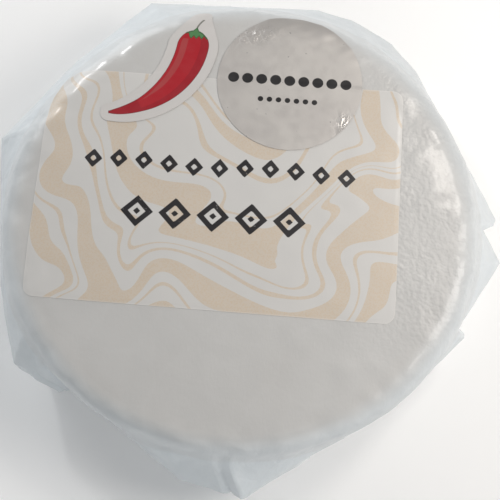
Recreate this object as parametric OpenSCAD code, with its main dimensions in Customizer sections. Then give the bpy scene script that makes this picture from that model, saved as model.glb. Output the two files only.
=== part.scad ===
// A round soft cheese wrapped in pleated waxed paper, with three stickers on its top.
// The origin is on the resting surface, below the middle of the wrapped outline.
// +Z is up, and the long side of the main label runs along X.
// A sticker is laid out flat around the wheel's axis and then draped: a point keeps its
// direction from the axis, and its distance is measured along the wrapped surface.

/* [Wheel] */
// Diameter of the wrapped wheel where the paper lies tight
wheel_d = 110; // [90:1:140]
// Height of the wrapped wheel
wheel_h = 31; // [25:0.5:42]
// Radius of the rounded upper edge
shoulder_r = 6; // [4:0.5:9]
// Radius of the rounded lower edge
heel_r = 4; // [2:0.5:5]
// Drop of the top face from its middle to its rim
crown = 0.3; // [0:0.1:1.5]
// Depth of the flattened place on the side of the wheel
slump = 3; // [0:0.1:4]

/* [Pleats] */
// Distance from the foot of the shoulder down to where the pleats stand out furthest
pleat_drop = 7; // [3:0.5:10]
// Share of that reach that is left at the lower edge
pleat_heel = 0.75; // [0:0.05:1]
// Width of the tuck where one layer of paper folds under the next, in degrees
tuck_w = 1.5; // [1:0.1:2.5]
// Thickness of the folded paper under the wheel
fold_t = 0.5; // [0:0.1:1]
// Turn of the folds between the lower edge and the middle of the underside, in degrees
fold_twist = 24; // [0:1:40]
// Radius of the flat middle of the underside
foot_r = 12; // [8:1:20]

/* [Main label] */
// Length of the main label
label_w = 82.5; // [60:0.5:100]
// Width of the main label
label_l = 55; // [40:0.5:67]
// Radius of the label's corners
label_corner_r = 2.5; // [1:0.5:8]
// Distance of the label's middle from the axis, along X
label_x = -5.5; // [-12:0.5:12]
// Distance of the label's middle from the axis, along Y
label_y = 6.3; // [-12:0.1:12]

/* [Round seal] */
// Diameter of the round seal
seal_d = 34; // [24:1:42]
// Distance of the seal's middle from the axis, along X
seal_x = 9; // [-12:0.5:20]
// Distance of the seal's middle from the axis, along Y
seal_y = 34.2; // [20:0.1:36]

/* [Chilli sticker] */
// Distance of the fruit's tip from the axis, along X
chilli_x = -32.2; // [-36:0.1:-20]
// Distance of the fruit's tip from the axis, along Y
chilli_y = 23.4; // [10:0.1:26]
// Radius of the bend along the middle of the fruit
bend_r = 20.7; // [14:0.1:26]
// Direction in which the fruit leaves its tip, in degrees from X
tip_heading = 8; // [-20:1:30]
// Turn of the fruit from its tip to its cap, in degrees
bend_turn = 84; // [60:1:110]
// Half the width of the fruit at its widest
fruit_half_w = 3.8; // [2:0.1:5]
// Length of the stem beyond the cap
stem_l = 5; // [3:0.5:8]
// Turn of the stem away from the fruit's direction, in degrees, clockwise
stem_lean = 15; // [0:1:30]
// Width of the pale border around the picture
border_w = 2.2; // [1:0.1:4]

/* [Stickers] */
// Thickness of each sticker
sticker_t = 0.2; // [0.1:0.05:0.4]
// Clearance under each sticker
sticker_gap = 0.15; // [0.12:0.01:0.3]

/* [Hidden] */

// One entry for each pleat, counterclockwise from X: its direction in degrees, how far it
// stands out beyond the wheel, and how far the paper drops behind it. A positive drop is
// on the counterclockwise side and a negative one on the clockwise side.
PLEATS = [
    [8, 7, -4], [48, 6.5, 0], [57, 8.6, 0], [68, 8.8, 0], [76, 8.3, 0], [115, 11.2, 0],
    [137, 6.7, 0], [162, 9.1, 0], [197, 3.5, 0], [215, 6.9, 0], [219, 3.8, 2.6],
    [261, 6.3, 0], [271, 7.7, 0], [275, 8.9, -2.2], [339, 3.6, 2.2], [358, 7.4, 0]
];
// Direction and half width of the flattened place on the side, in degrees
SLUMP_AT = 270;
SLUMP_HALF = 95;
// How steeply the flattening fades from the side towards the middle
SLUMP_POWER = 6;
// Widest step between two columns of the wrapper, in degrees
COLUMN_STEP = 4.2;
// Share of the shoulder's arc above which the paper lies tight
TIGHT_SHARE = 0.4;
// Distance over which a pleat fades out under the wheel, inside the lower edge, and the
// share of it over which the folded layers gain their thickness
FADE_W = 12;
FOLD_SHARE = 0.5;
// Steps along the top, shoulder, upper side, lower side, heel and underside
TOP_STEPS = 5;
SHOULDER_STEPS = 8;
SIDE_STEPS = 3;
HEEL_STEPS = 3;
UNDER_STEPS = 7;
// Steps of the stickers' grids
LABEL_STEPS = [24, 18];
SEAL_STEPS = [6, 36];
CHILLI_STEPS = [28, 6];
// Small step in millimetres and degrees over which the surface's slope is taken
PROBE = 0.05;
// Share of the fruit's length over which it swells, and how steeply it does
SWELL_SHARE = 0.9;
SWELL_POWER = 0.9;
// Half the width that is left at the blunt ends of the sticker's outline
END_HALF = 0.1;

PAPER = [0.87, 0.86, 0.84];
LABEL = [0.82, 0.76, 0.69];
SILVER = [0.72, 0.71, 0.69];
RED = [0.66, 0.19, 0.23];

wheel_r = wheel_d / 2;
flat_r = wheel_r - shoulder_r;
side_top_z = wheel_h - crown - shoulder_r;
pleat_z = side_top_z - pleat_drop;
shoulder_len = shoulder_r * PI / 2;
under_r = wheel_r - heel_r;

function smooth(t) = let (c = min(max(t, 0), 1)) c * c * (3 - 2 * c);
function turn(a) = a - 360 * floor((a + 180) / 360);
function unit(v) = v / norm(v);

// ---- The wrapped wheel's surface ----

// Radius and height of the tight paper at a distance s from the middle of the top
function meridian(s) =
    s < flat_r ? [s, wheel_h - crown * (1 - cos(180 * s / flat_r)) / 2] :
    s < flat_r + shoulder_len ?
        let (a = (s - flat_r) / shoulder_len * 90)
        [flat_r + shoulder_r * sin(a), side_top_z + shoulder_r * cos(a)] :
    [wheel_r, side_top_z - (s - flat_r - shoulder_len)];

// Crests and feet of the pleats in turn: direction and distance beyond the wheel
PINS = [for (p = PLEATS) each
    p[2] > 0 ? [[p[0], p[1]], [p[0] + tuck_w, p[1] - p[2]]] :
    p[2] < 0 ? [[p[0] - tuck_w, p[1] + p[2]], [p[0], p[1]]] :
    [[p[0], p[1]]]];
PIN_PAIRS = [for (i = [0 : len(PINS) - 1])
    [PINS[i], i < len(PINS) - 1 ? PINS[i + 1] : PINS[0] + [360, 0]]];

// How far the paper stands out at an angle d from a crest, where it runs straight from
// the crest until it touches the wheel
function flank(d, reach) =
    let (contact = acos(wheel_r / (wheel_r + reach)))
    d >= contact ? 0 : wheel_r / cos(contact - d) - wheel_r;

// The same between two crests, where the paper is pulled straight from one to the other
function chord(d, gap, from, to) =
    let (a = wheel_r + from, b = wheel_r + to)
    a * b * sin(gap) / (a * sin(d) + b * sin(gap - d)) - wheel_r;

function reach(angle) = max([for (pair = PIN_PAIRS)
    let (
        gap = pair[1][0] - pair[0][0],
        d = angle - pair[0][0] - 360 * floor((angle - pair[0][0]) / 360)
    )
    d > gap ? 0 :
    max(chord(d, gap, pair[0][1], pair[1][1]),
        flank(d, pair[0][1]),
        flank(gap - d, pair[1][1]))]);

// Radius r on a round wheel, brought in where the wheel is flattened
function slumped(r, angle) =
    let (share = smooth(1 - abs(turn(angle - SLUMP_AT)) / SLUMP_HALF))
    r - slump * share * pow(r / wheel_r, SLUMP_POWER);

// Share of a pleat's reach on the outside of the wheel, at height z
function spread(z) =
    let (tight_z = side_top_z + shoulder_r * cos(90 * TIGHT_SHARE))
    z > pleat_z ? smooth((tight_z - z) / (tight_z - pleat_z)) :
    1 - (1 - pleat_heel) * smooth((pleat_z - z) / (pleat_z - heel_r));

function polar(r, angle, z) = [r * cos(angle), r * sin(angle), z];

function outside(r, z, angle) =
    polar(slumped(r, angle) + spread(z) * reach(angle), angle, z);

// ---- The wrapper as rings of points, from the top to the underside ----

// Directions of the columns: each crest, each foot of a tuck, and even steps between them
COLUMNS = [for (pair = PIN_PAIRS)
    let (
        a = pair[0][0],
        b = pair[1][0],
        n = ceil((b - a) / COLUMN_STEP)
    )
    for (k = [0 : n - 1]) a + (b - a) * k / n];

function steps(from, to, n) = [for (k = [1 : n]) from + (to - from) * k / n];

top_rings = [for (s = concat(
        steps(0, flat_r, TOP_STEPS),
        steps(flat_r, flat_r + shoulder_len, SHOULDER_STEPS)))
    meridian(s)];
side_rings = [for (z = concat(
        steps(side_top_z, pleat_z, SIDE_STEPS),
        steps(pleat_z, heel_r, SIDE_STEPS)))
    [wheel_r, z]];
heel_rings = [for (a = steps(0, 90, HEEL_STEPS))
    [under_r + heel_r * cos(a), heel_r * (1 - sin(a))]];
under_rings = concat(
    steps(under_r, under_r - FADE_W, 3),
    steps(under_r - FADE_W, foot_r, UNDER_STEPS - 3));

// Height of the folded paper under the wheel: each layer rises from one crest to the next
function fold_rise(angle) =
    let (
        gaps = [for (p = PLEATS) let (d = angle - p[0]) d - 360 * floor(d / 360 + 1e-9)],
        since = min(gaps),
        ahead = min([for (g = gaps) g > 1e-6 ? 360 - g : 360])
    )
    fold_t * (since < 1e-6 ? 0 : smooth(since / tuck_w) * ahead / (since + ahead));

function underside(r, angle) =
    let (
        inside = (under_r - r) / FADE_W,
        spread_left = pleat_heel * (1 - smooth(inside)),
        lift = smooth(inside / FOLD_SHARE) * smooth((r - foot_r) / foot_r)
    )
    polar(
        slumped(r, angle) + spread_left * reach(angle),
        angle + fold_twist * (1 - r / under_r),
        fold_rise(angle) * lift);

wrapper_points = concat(
    [[0, 0, wheel_h]],
    [for (q = concat(top_rings, side_rings, heel_rings)) for (a = COLUMNS)
        outside(q[0], q[1], a)],
    [for (r = under_rings) for (a = COLUMNS) underside(r, a)],
    [[0, 0, 0]]);

ring_count = len(top_rings) + len(side_rings) + len(heel_rings) + len(under_rings);
column_count = len(COLUMNS);

// Brings the middle of the wrapped outline onto the origin
centring = let (
        xs = [for (p = wrapper_points) p[0]],
        ys = [for (p = wrapper_points) p[1]]
    )
    [-(min(xs) + max(xs)) / 2, -(min(ys) + max(ys)) / 2, 0];

module wrapped_cheese() {
    m = column_count;
    last = 1 + ring_count * m;
    lower = 1 + (ring_count - 1) * m;
    color(PAPER)
    translate(centring)
    polyhedron(
        points = wrapper_points,
        faces = concat(
            [for (j = [0 : m - 1]) [0, 1 + (j + 1) % m, 1 + j]],
            [for (i = [0 : ring_count - 2]) for (j = [0 : m - 1])
                let (a = 1 + i * m, k = (j + 1) % m)
                each [[a + j, a + k, a + m + k], [a + j, a + m + k, a + m + j]]],
            [for (j = [0 : m - 1]) [last, lower + j, lower + (j + 1) % m]]),
        convexity = 6);
}

// ---- Stickers draped on the wheel ----

function on_wheel(s, angle) = let (q = meridian(s)) outside(q[0], q[1], angle);

// A flat point [x, y] laid on the wheel and raised along the surface's normal
function drape(p, lift) =
    let (
        s = max(norm(p), PROBE / 5),
        angle = atan2(p[1], p[0]),
        down = on_wheel(s + PROBE, angle) - on_wheel(s - PROBE, angle),
        around = on_wheel(s, angle + PROBE) - on_wheel(s, angle - PROBE)
    )
    on_wheel(s, angle) + lift * unit(cross(down, around));

// A closed thin sheet over a grid of flat points. Rows run along the first index.
module sheet(grid, lift) {
    rows = len(grid);
    cols = len(grid[0]);
    half = rows * cols;
    rim = concat(
        [for (j = [0 : cols - 2]) j],
        [for (i = [0 : rows - 2]) i * cols + cols - 1],
        [for (j = [cols - 1 : -1 : 1]) (rows - 1) * cols + j],
        [for (i = [rows - 1 : -1 : 1]) i * cols]);
    translate(centring)
    polyhedron(
        points = [for (h = [lift + sticker_t, lift]) for (row = grid) for (p = row)
            drape(p, h)],
        faces = concat(
            [for (i = [0 : rows - 2]) for (j = [0 : cols - 2])
                let (a = i * cols + j)
                each [[a, a + cols + 1, a + 1], [a, a + cols, a + cols + 1],
                    [half + a, half + a + 1, half + a + cols + 1],
                    [half + a, half + a + cols + 1, half + a + cols]]],
            [for (k = [0 : len(rim) - 1])
                let (a = rim[k], b = rim[(k + 1) % len(rim)])
                each [[a, b, half + b], [a, half + b, half + a]]]),
        convexity = 4);
}

// Even steps of an angle, so that a grid is finer near its edges
function edge_steps(n) = [for (k = [0 : n]) -cos(180 * k / n)];

// Half the label's width at a distance x from its middle, with its rounded corners
function label_half(x) =
    let (past = max(abs(x) - (label_w / 2 - label_corner_r), 0))
    label_l / 2 - label_corner_r + sqrt(max(pow(label_corner_r, 2) - past * past, 0));

module main_label() {
    color(LABEL)
    sheet(
        [for (u = edge_steps(LABEL_STEPS[0])) let (x = label_w / 2 * u)
            [for (v = edge_steps(LABEL_STEPS[1]))
                [label_x + x, label_y + label_half(x) * v]]],
        sticker_gap);
}

upper_lift = sticker_gap + sticker_t + sticker_gap / 2;

module round_seal() {
    rings = SEAL_STEPS[0];
    m = SEAL_STEPS[1];
    half = 1 + rings * m;
    flat = concat(
        [[seal_x, seal_y]],
        [for (i = [1 : rings]) for (j = [0 : m - 1])
            let (r = seal_d / 2 * i / rings)
            [seal_x + r * cos(360 * j / m), seal_y + r * sin(360 * j / m)]]);
    color(SILVER)
    translate(centring)
    polyhedron(
        points = [for (h = [upper_lift + sticker_t, upper_lift]) for (p = flat) drape(p, h)],
        faces = concat(
            [for (j = [0 : m - 1]) let (k = (j + 1) % m)
                each [[0, 1 + k, 1 + j], [half, half + 1 + j, half + 1 + k]]],
            [for (i = [0 : rings - 2]) for (j = [0 : m - 1])
                let (a = 1 + i * m, k = (j + 1) % m)
                each [[a + j, a + k, a + m + k], [a + j, a + m + k, a + m + j],
                    [half + a + j, half + a + m + k, half + a + k],
                    [half + a + j, half + a + m + j, half + a + m + k]]],
            [for (j = [0 : m - 1]) let (a = 1 + (rings - 1) * m, k = (j + 1) % m)
                each [[a + j, a + k, half + a + k], [a + j, half + a + k, half + a + j]]]),
        convexity = 4);
}

fruit_len = bend_r * bend_turn * PI / 180;

// Direction of the picture's middle line at a distance s from the fruit's tip
function heading(s) =
    tip_heading + bend_turn * min(max(s / fruit_len, 0), 1);

// Point of the middle line: straight before the tip, an arc, and straight along the stem
function spine(s) =
    let (
        h = heading(s),
        over = s < 0 ? s : max(s - fruit_len, 0),
        leaning = s > fruit_len ? h - stem_lean : h
    )
    [chilli_x, chilli_y]
        + bend_r * [sin(h) - sin(tip_heading), cos(tip_heading) - cos(h)]
        + over * [cos(leaning), sin(leaning)];

// Half the width of the fruit at a distance s from the tip, fading out along the stem
function fruit_half(s) =
    let (
        swell_len = fruit_len * SWELL_SHARE,
        swell = min(max(s / swell_len, 0), 1),
        fade_len = fruit_len - swell_len + stem_l + border_w
    )
    fruit_half_w * pow(sin(90 * swell), SWELL_POWER)
        * (1 - smooth((s - swell_len) / fade_len));

// Half the width of the die-cut border, with a round end beyond the tip and the stem
function border_half(s) =
    let (
        length = fruit_len + stem_l,
        past = max(-s, s - length, 0)
    )
    (border_w + fruit_half(min(s, length)))
        * sqrt(max(1 - pow(past / border_w, 2), 0));

module chilli_sticker() {
    first = -border_w;
    total = fruit_len + stem_l + 2 * border_w;
    color(RED)
    sheet(
        [for (u = edge_steps(CHILLI_STEPS[0]))
            let (
                s = first + total * (u + 1) / 2,
                across = heading(s) + 90,
                w = max(border_half(s), END_HALF)
            )
            [for (v = concat([-1], steps(-1, 1, CHILLI_STEPS[1])))
                spine(s) + w * v * [cos(across), sin(across)]]],
        upper_lift);
}

wrapped_cheese();
main_label();
round_seal();
chilli_sticker();
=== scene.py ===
"""Looks of a round soft cheese wrapped in pleated waxed paper, with three stickers on its top.

Every piece is worked out in millimetres around the wheel's axis and written to its mesh in
metres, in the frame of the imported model. A sticker is laid out flat around the axis and then
draped: a point keeps its direction from the axis, and its distance is measured along the wrapped
surface.
"""

import logging
import math
from dataclasses import dataclass, field
from enum import Enum

import bpy
import numpy as np
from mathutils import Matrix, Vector


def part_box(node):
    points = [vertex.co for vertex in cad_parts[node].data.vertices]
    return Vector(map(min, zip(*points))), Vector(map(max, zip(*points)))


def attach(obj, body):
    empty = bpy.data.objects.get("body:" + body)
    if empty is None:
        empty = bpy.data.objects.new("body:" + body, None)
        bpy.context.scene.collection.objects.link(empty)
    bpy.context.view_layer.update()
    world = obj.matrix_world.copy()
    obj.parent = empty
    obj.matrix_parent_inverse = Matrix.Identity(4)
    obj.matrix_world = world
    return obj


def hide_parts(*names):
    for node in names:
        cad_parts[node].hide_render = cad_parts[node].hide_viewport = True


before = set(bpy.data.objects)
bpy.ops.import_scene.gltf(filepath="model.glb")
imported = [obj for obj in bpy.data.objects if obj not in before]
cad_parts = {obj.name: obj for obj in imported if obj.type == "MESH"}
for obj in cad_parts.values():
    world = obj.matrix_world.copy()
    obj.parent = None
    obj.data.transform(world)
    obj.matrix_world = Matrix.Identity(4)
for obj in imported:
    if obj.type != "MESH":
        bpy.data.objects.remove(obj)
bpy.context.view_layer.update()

MM = 0.001
CRISP = 0.06  # Half the width over which a printed edge changes colour, in mm
LOG = logging.getLogger("wrapped_cheese")

Array = np.ndarray
Colour = tuple[float, float, float]


# ---- Small helpers ----

def smooth(t: Array) -> Array:
    """An S-shaped rise from 0 to 1 as t goes from 0 to 1."""
    c = np.clip(t, 0.0, 1.0)
    return c * c * (3.0 - 2.0 * c)


def turned(angle: Array) -> Array:
    """The angle in degrees, brought between -180 and 180."""
    return (np.asarray(angle) + 180.0) % 360.0 - 180.0


def unit(vectors: Array) -> Array:
    """Each row of vectors, made one long."""
    return vectors / np.linalg.norm(vectors, axis=-1, keepdims=True)


def spot(u: Array, v: Array, middle: tuple[float, float], reach: tuple[float, float]) -> Array:
    """A soft oval spot: 1 in its middle, fading to 0 beyond its reach along U and V."""
    return np.exp(-(((u - middle[0]) / reach[0]) ** 2 + ((v - middle[1]) / reach[1]) ** 2))


@dataclass(frozen=True)
class Ramp:
    """A smooth rise from 0 to 1 that begins at one value and takes a width."""

    start: float
    width: float

    def at(self, value: Array) -> Array:
        """The rise at each value."""
        return smooth((value - self.start) / self.width)


@dataclass(frozen=True)
class Ripple:
    """A wavy field on the paper: its height, its wavelength, and the number that picks it."""

    height: float
    wavelength: float
    seed: int


def swell(points: Array, wavelength: float, seed: int, count: int = 14) -> Array:
    """A smooth wavy field.

    Args:
        points: Places, one row each, in millimetres.
        wavelength: Rough distance between two crests, in millimetres.
        seed: Number that picks the field.
        count: Number of plane waves that are added up.

    Returns:
        One value for each point, mostly between -1 and 1.
    """
    rng = np.random.default_rng(seed)
    ways = unit(rng.normal(size=(count, points.shape[-1])))
    rate = 2.0 * np.pi / (wavelength * rng.uniform(0.7, 1.5, count))
    phase = rng.uniform(0.0, 2.0 * np.pi, count)
    waves = np.sin(points @ (ways * rate[:, None]).T + phase)
    return waves.sum(axis=-1) / math.sqrt(count)


def rippled(points: Array, ripples: tuple[Ripple, ...]) -> Array:
    """Height of several ripples together at each point."""
    return sum(r.height * swell(points, r.wavelength, r.seed) for r in ripples)


# ---- The wheel's surface ----

@dataclass(frozen=True)
class Pleat:
    """One crest of the wrapper's outline.

    Attributes:
        angle: Direction from the axis, in degrees from X.
        reach: How far it stands out beyond the wheel, in millimetres.
        drop: Step down behind the crest; positive on its counterclockwise side.
    """

    angle: float
    reach: float
    drop: float = 0.0


@dataclass(frozen=True)
class Crease:
    """A soft crease in the paper on the top, from start to end, in millimetres.

    Attributes:
        bend: How far its middle bows out, as a share of its length.
        fade: How fast it fades at both ends.
        past: How much of it is left at the very ends.
    """

    start: tuple[float, float]
    end: tuple[float, float]
    width: float
    height: float
    bend: float = 0.12
    fade: float = 3.0
    past: float = 0.6

    def at(self, points: Array) -> Array:
        """Its height at each point.

        Args:
            points: Rows of X, Y and Z, in millimetres.

        Returns:
            A low ridge, or a dent where the height is below 0.
        """
        start, end = np.array(self.start), np.array(self.end)
        length = float(np.linalg.norm(end - start))
        way = (end - start) / length
        d = points[..., :2] - start
        along = (d @ way) / length
        bow = self.bend * length * np.sin(np.pi * np.clip(along, 0.0, 1.0))
        across = d @ np.array([-way[1], way[0]]) - bow
        ends = smooth(along * self.fade + self.past)
        ends = ends * smooth((1.0 - along) * self.fade + self.past)
        return self.height * ends * np.exp(-(across / self.width) ** 2)


PLEATS = (
    Pleat(8, 7.0, -4.0), Pleat(48, 6.5), Pleat(57, 8.6), Pleat(68, 8.8), Pleat(76, 8.3),
    Pleat(115, 11.2), Pleat(137, 6.7), Pleat(162, 9.1), Pleat(197, 3.5), Pleat(215, 6.9),
    Pleat(219, 3.8, 2.6), Pleat(261, 6.3), Pleat(271, 7.7), Pleat(275, 8.9, -2.2),
    Pleat(339, 3.6, 2.2), Pleat(358, 7.4),
)

CREASES = (
    Crease((12, -36), (27, -31), 2.2, 0.16),
    Crease((20, -42), (38, -24), 3.5, -0.14),
    Crease((41, -19), (47, -8), 2.4, 0.18),
    Crease((24, -33), (33, -30), 1.6, 0.12),
    Crease((-30, -34), (-24, -42), 2.5, 0.12),
    Crease((-42, -16), (-49, -19), 1.8, 0.15),
    Crease((40, 6), (49, 12), 1.8, 0.16),
    Crease((38, 16), (47, 22), 1.6, 0.14),
    Crease((-33, 38), (-22, 46), 2.4, 0.14),
)


@dataclass
class Wheel:
    """The wrapped wheel as a surface, in millimetres around its own axis.

    Attributes:
        slump_angle: Direction of the flattened place on the side, in degrees.
        slump_half: Half its width, in degrees.
        slump_power: How steeply the flattening fades towards the middle.
        heel_share: Share of a pleat's reach that is left at the lower edge.
        tuck: Width of the tuck behind a crest with a drop, in degrees.
        fade: Distance over which a pleat fades out under the wheel.
        foot: Radius of the flat middle of the underside.
        foot_rise: Share of that radius at which the folds begin to rise.
        fold_step: Thickness of the folded paper.
        fold_gap: Usual angle between two folds, in degrees.
        fold_power: How late a layer rises on its way to its edge.
        fold_ramp: Growth of the fold steps below the crest.
        lean: Turn of the folds between the crest and the lower edge, in degrees.
        lean_back: How far above the crest they lean the other way, as a share of lean.
        twist: Turn of the folds under the wheel, in degrees.
        loose_ramp: Clearance over which ripples of loose paper grow.
        rim_ramp: Growth of the rim's ripples past the flat top.
        crest_ramp: Fading of the rim's ripples, and of creases, towards the next stretch.
        under_ramp: Growth of the folds inside the lower edge.
        tone_ramp: Clearance over which the paper's tone turns.
        rim_lift_and_painted_light_ramp: The same by distance past the flat top.
        rim_lift_and_painted_light: Share of the turn that the rim has by its place alone, partly
            paper that lifts off the shoulder and partly painted light that evens out the
            shoulder's shade.
        probe: Small step over which the surface's slope is taken.
    """

    diameter: float = 110.0
    height: float = 31.0
    shoulder: float = 6.0
    heel: float = 4.0
    crown: float = 0.3
    slump: float = 3.0
    slump_angle: float = 270.0
    slump_half: float = 95.0
    slump_power: float = 6.0
    pleat_drop: float = 7.0
    heel_share: float = 0.75
    tuck: float = 1.5
    fade: float = 12.0
    foot: float = 12.0
    foot_rise: float = 0.4
    fold_step: float = 0.5
    fold_gap: float = 13.0
    fold_power: float = 1.6
    fold_ramp: Ramp = Ramp(0.6, 3.5)
    lean: float = 5.0
    lean_back: float = 0.8
    twist: float = 24.0
    loose_ramp: Ramp = Ramp(0.2, 2.5)
    rim_ramp: Ramp = Ramp(-5.0, 6.0)
    crest_ramp: Ramp = Ramp(0.0, 6.0)
    under_ramp: Ramp = Ramp(0.0, 4.0)
    tone_ramp: Ramp = Ramp(0.1, 1.1)
    rim_lift_and_painted_light_ramp: Ramp = Ramp(-1.0, 6.0)
    rim_lift_and_painted_light: float = 0.7
    probe: float = 0.05
    tight_ripples: tuple[Ripple, ...] = (Ripple(0.05, 21.0, 3), Ripple(0.02, 6.0, 5))
    loose_ripples: tuple[Ripple, ...] = (Ripple(0.08, 11.0, 7), Ripple(0.03, 4.0, 11))
    rim_ripples: tuple[Ripple, ...] = (Ripple(0.13, 9.0, 17), Ripple(0.05, 3.5, 19))
    under_ripple: Ripple = Ripple(0.05, 5.0, 13)
    pleats: tuple[Pleat, ...] = PLEATS
    creases: tuple[Crease, ...] = CREASES
    pins: list[tuple[float, float]] = field(init=False)
    folds: list[float] = field(init=False)

    def __post_init__(self) -> None:
        """Works out the lengths and lists that follow from the sizes."""
        self.radius = self.diameter / 2.0
        self.flat = self.radius - self.shoulder
        self.side_top = self.height - self.crown - self.shoulder
        self.pleat_z = self.side_top - self.pleat_drop
        self.shoulder_end = self.flat + self.shoulder * math.pi / 2.0
        self.side_end = self.shoulder_end + self.side_top - self.heel
        self.heel_end = self.side_end + self.heel * math.pi / 2.0
        self.under = self.radius - self.heel
        self.crest = self.shoulder_end + self.pleat_drop
        self.pins = self._pins()
        self.folds = self._folds()

    def _pins(self) -> list[tuple[float, float]]:
        """Lists the crests and feet of the pleats in turn.

        Returns:
            The direction and the reach of each.
        """
        pins = []
        for p in self.pleats:
            if p.drop > 0:
                pins += [(p.angle, p.reach), (p.angle + self.tuck, p.reach - p.drop)]
            elif p.drop < 0:
                pins += [(p.angle - self.tuck, p.reach + p.drop), (p.angle, p.reach)]
            else:
                pins.append((p.angle, p.reach))
        return pins

    def _folds(self) -> list[float]:
        """Lists where one layer of paper ends on the next: at the crests, and more between.

        Returns:
            Directions from the axis, in degrees.
        """
        folds = []
        angles = [p.angle for p in self.pleats]
        for here, after in zip(angles, angles[1:] + [angles[0] + 360.0]):
            count = max(1, round((after - here) / self.fold_gap))
            folds += [here + (after - here) * k / count for k in range(count)]
        return folds

    def profile(self, s: Array) -> tuple[Array, Array, Array, Array]:
        """The meridian of the tight paper.

        Args:
            s: Distance from the middle of the top, along the surface.

        Returns:
            Radius, height, and the outward normal's radial and upward parts.
        """
        r, z = np.array(s, float), np.empty_like(s, float)
        out, up = np.zeros_like(z), np.ones_like(z)
        top = s < self.flat
        z[top] = self.height - self.crown * (1 - np.cos(np.pi * s[top] / self.flat)) / 2
        part = (s >= self.flat) & (s < self.shoulder_end)
        a = (s[part] - self.flat) / self.shoulder
        r[part] = self.flat + self.shoulder * np.sin(a)
        z[part] = self.side_top + self.shoulder * np.cos(a)
        out[part], up[part] = np.sin(a), np.cos(a)
        part = (s >= self.shoulder_end) & (s < self.side_end)
        r[part], z[part] = self.radius, self.side_top - (s[part] - self.shoulder_end)
        out[part], up[part] = 1.0, 0.0
        part = (s >= self.side_end) & (s < self.heel_end)
        a = (s[part] - self.side_end) / self.heel
        r[part], z[part] = self.under + self.heel * np.cos(a), self.heel * (1 - np.sin(a))
        out[part], up[part] = np.cos(a), -np.sin(a)
        part = s >= self.heel_end
        r[part], z[part] = self.under - (s[part] - self.heel_end), 0.0
        out[part], up[part] = 0.0, -1.0
        return r, z, out, up

    def spread(self, s: Array, z: Array) -> Array:
        """How much of a pleat is left below its crest.

        Args:
            s: Distance from the middle of the top, along the surface.
            z: Height of the tight paper there.

        Returns:
            Shares of the pleat's reach.
        """
        fall = 1 - (1 - self.heel_share) * smooth((self.pleat_z - z) / (self.pleat_z - self.heel))
        inside = (s - self.heel_end) / self.fade
        return np.where(inside > 0, self.heel_share * (1 - smooth(inside)), fall)

    def flank(self, d: Array, reach: Array) -> Array:
        """Paper that runs from a crest straight onto the wheel.

        Args:
            d: Angle from the crest, in degrees.
            reach: How far the crest stands out.

        Returns:
            How far the paper stands out at that angle.
        """
        contact = np.degrees(np.arccos(self.radius / (self.radius + reach)))
        near = self.radius / np.cos(np.radians(np.maximum(contact - d, 0.0))) - self.radius
        return np.where(d < contact, near, 0.0)

    def reach(self, angle: Array) -> Array:
        """The wrapper's outline as seen from above.

        Args:
            angle: Direction from the axis, in degrees.

        Returns:
            How far it stands out beyond the wheel.
        """
        starts = np.array([p[0] for p in self.pins])
        sizes = np.array([p[1] for p in self.pins])
        ends, next_sizes = np.roll(starts, -1), np.roll(sizes, -1)
        ends[-1] += 360.0
        a = (np.asarray(angle, float) - starts[0]) % 360.0 + starts[0]
        i = np.clip(np.searchsorted(starts, a, side="right") - 1, 0, len(starts) - 1)
        gap, d = (ends - starts)[i], a - starts[i]
        here, after = self.radius + sizes[i], self.radius + next_sizes[i]
        chord = here * after * np.sin(np.radians(gap)) / (
            here * np.sin(np.radians(d)) + after * np.sin(np.radians(gap - d))) - self.radius
        flanks = [self.flank(d, sizes[i]), self.flank(gap - d, next_sizes[i])]
        return np.maximum.reduce([chord, *flanks])

    def taut(self, along: Array, reach: Array, whole: bool) -> tuple[Array, Array, Array]:
        """Paper that bends over the shoulder and then runs straight to a pleat's crest.

        Args:
            along: Distance past the flat top, or its share of the way to the crest.
            reach: How far the crest stands out.
            whole: Whether along is a share.

        Returns:
            Radius, height, and the angle through which the paper has bent.
        """
        wide = self.shoulder + reach
        far = np.hypot(wide, self.pleat_drop)
        leave = np.pi / 2 - np.arccos(self.shoulder / far) + np.arctan2(self.pleat_drop, wide)
        total = self.shoulder * leave + np.sqrt(far ** 2 - self.shoulder ** 2)
        p = along * total if whole else along
        bent = np.minimum(p / self.shoulder, leave)
        past = np.maximum(p - self.shoulder * leave, 0.0)
        r = self.flat + self.shoulder * np.sin(bent) + past * np.cos(bent)
        return r, self.side_top + self.shoulder * np.cos(bent) - past * np.sin(bent), bent

    def slumped(self, r: Array, angle: Array) -> Array:
        """Radius r on a round wheel, brought in where the wheel is flattened."""
        share = smooth(1 - np.abs(turned(angle - self.slump_angle)) / self.slump_half)
        return r - self.slump * share * np.minimum(r / self.radius, 1.0) ** self.slump_power

    def clearance(self, r: Array, z: Array) -> Array:
        """Distance from a point of the paper to the tight wheel, before the wheel is flattened."""
        corner = np.hypot(r - self.flat, z - self.side_top) - self.shoulder
        return np.where(z > self.side_top, np.where(r > self.flat, corner, 0.0), r - self.radius)

    def layer(self, angle: Array) -> Array:
        """Height of the folded layers: each rises towards its edge and drops to the next.

        Args:
            angle: Direction from the axis, before the folds lean, in degrees.

        Returns:
            Heights from 0 to 1.
        """
        starts = np.array(self.folds)
        ends = np.append(starts[1:], starts[0] + 360.0)
        a = (np.asarray(angle, float) - starts[0]) % 360.0 + starts[0]
        i = np.clip(np.searchsorted(starts, a, side="right") - 1, 0, len(starts) - 1)
        return ((a - starts[i]) / (ends - starts)[i]) ** self.fold_power

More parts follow.
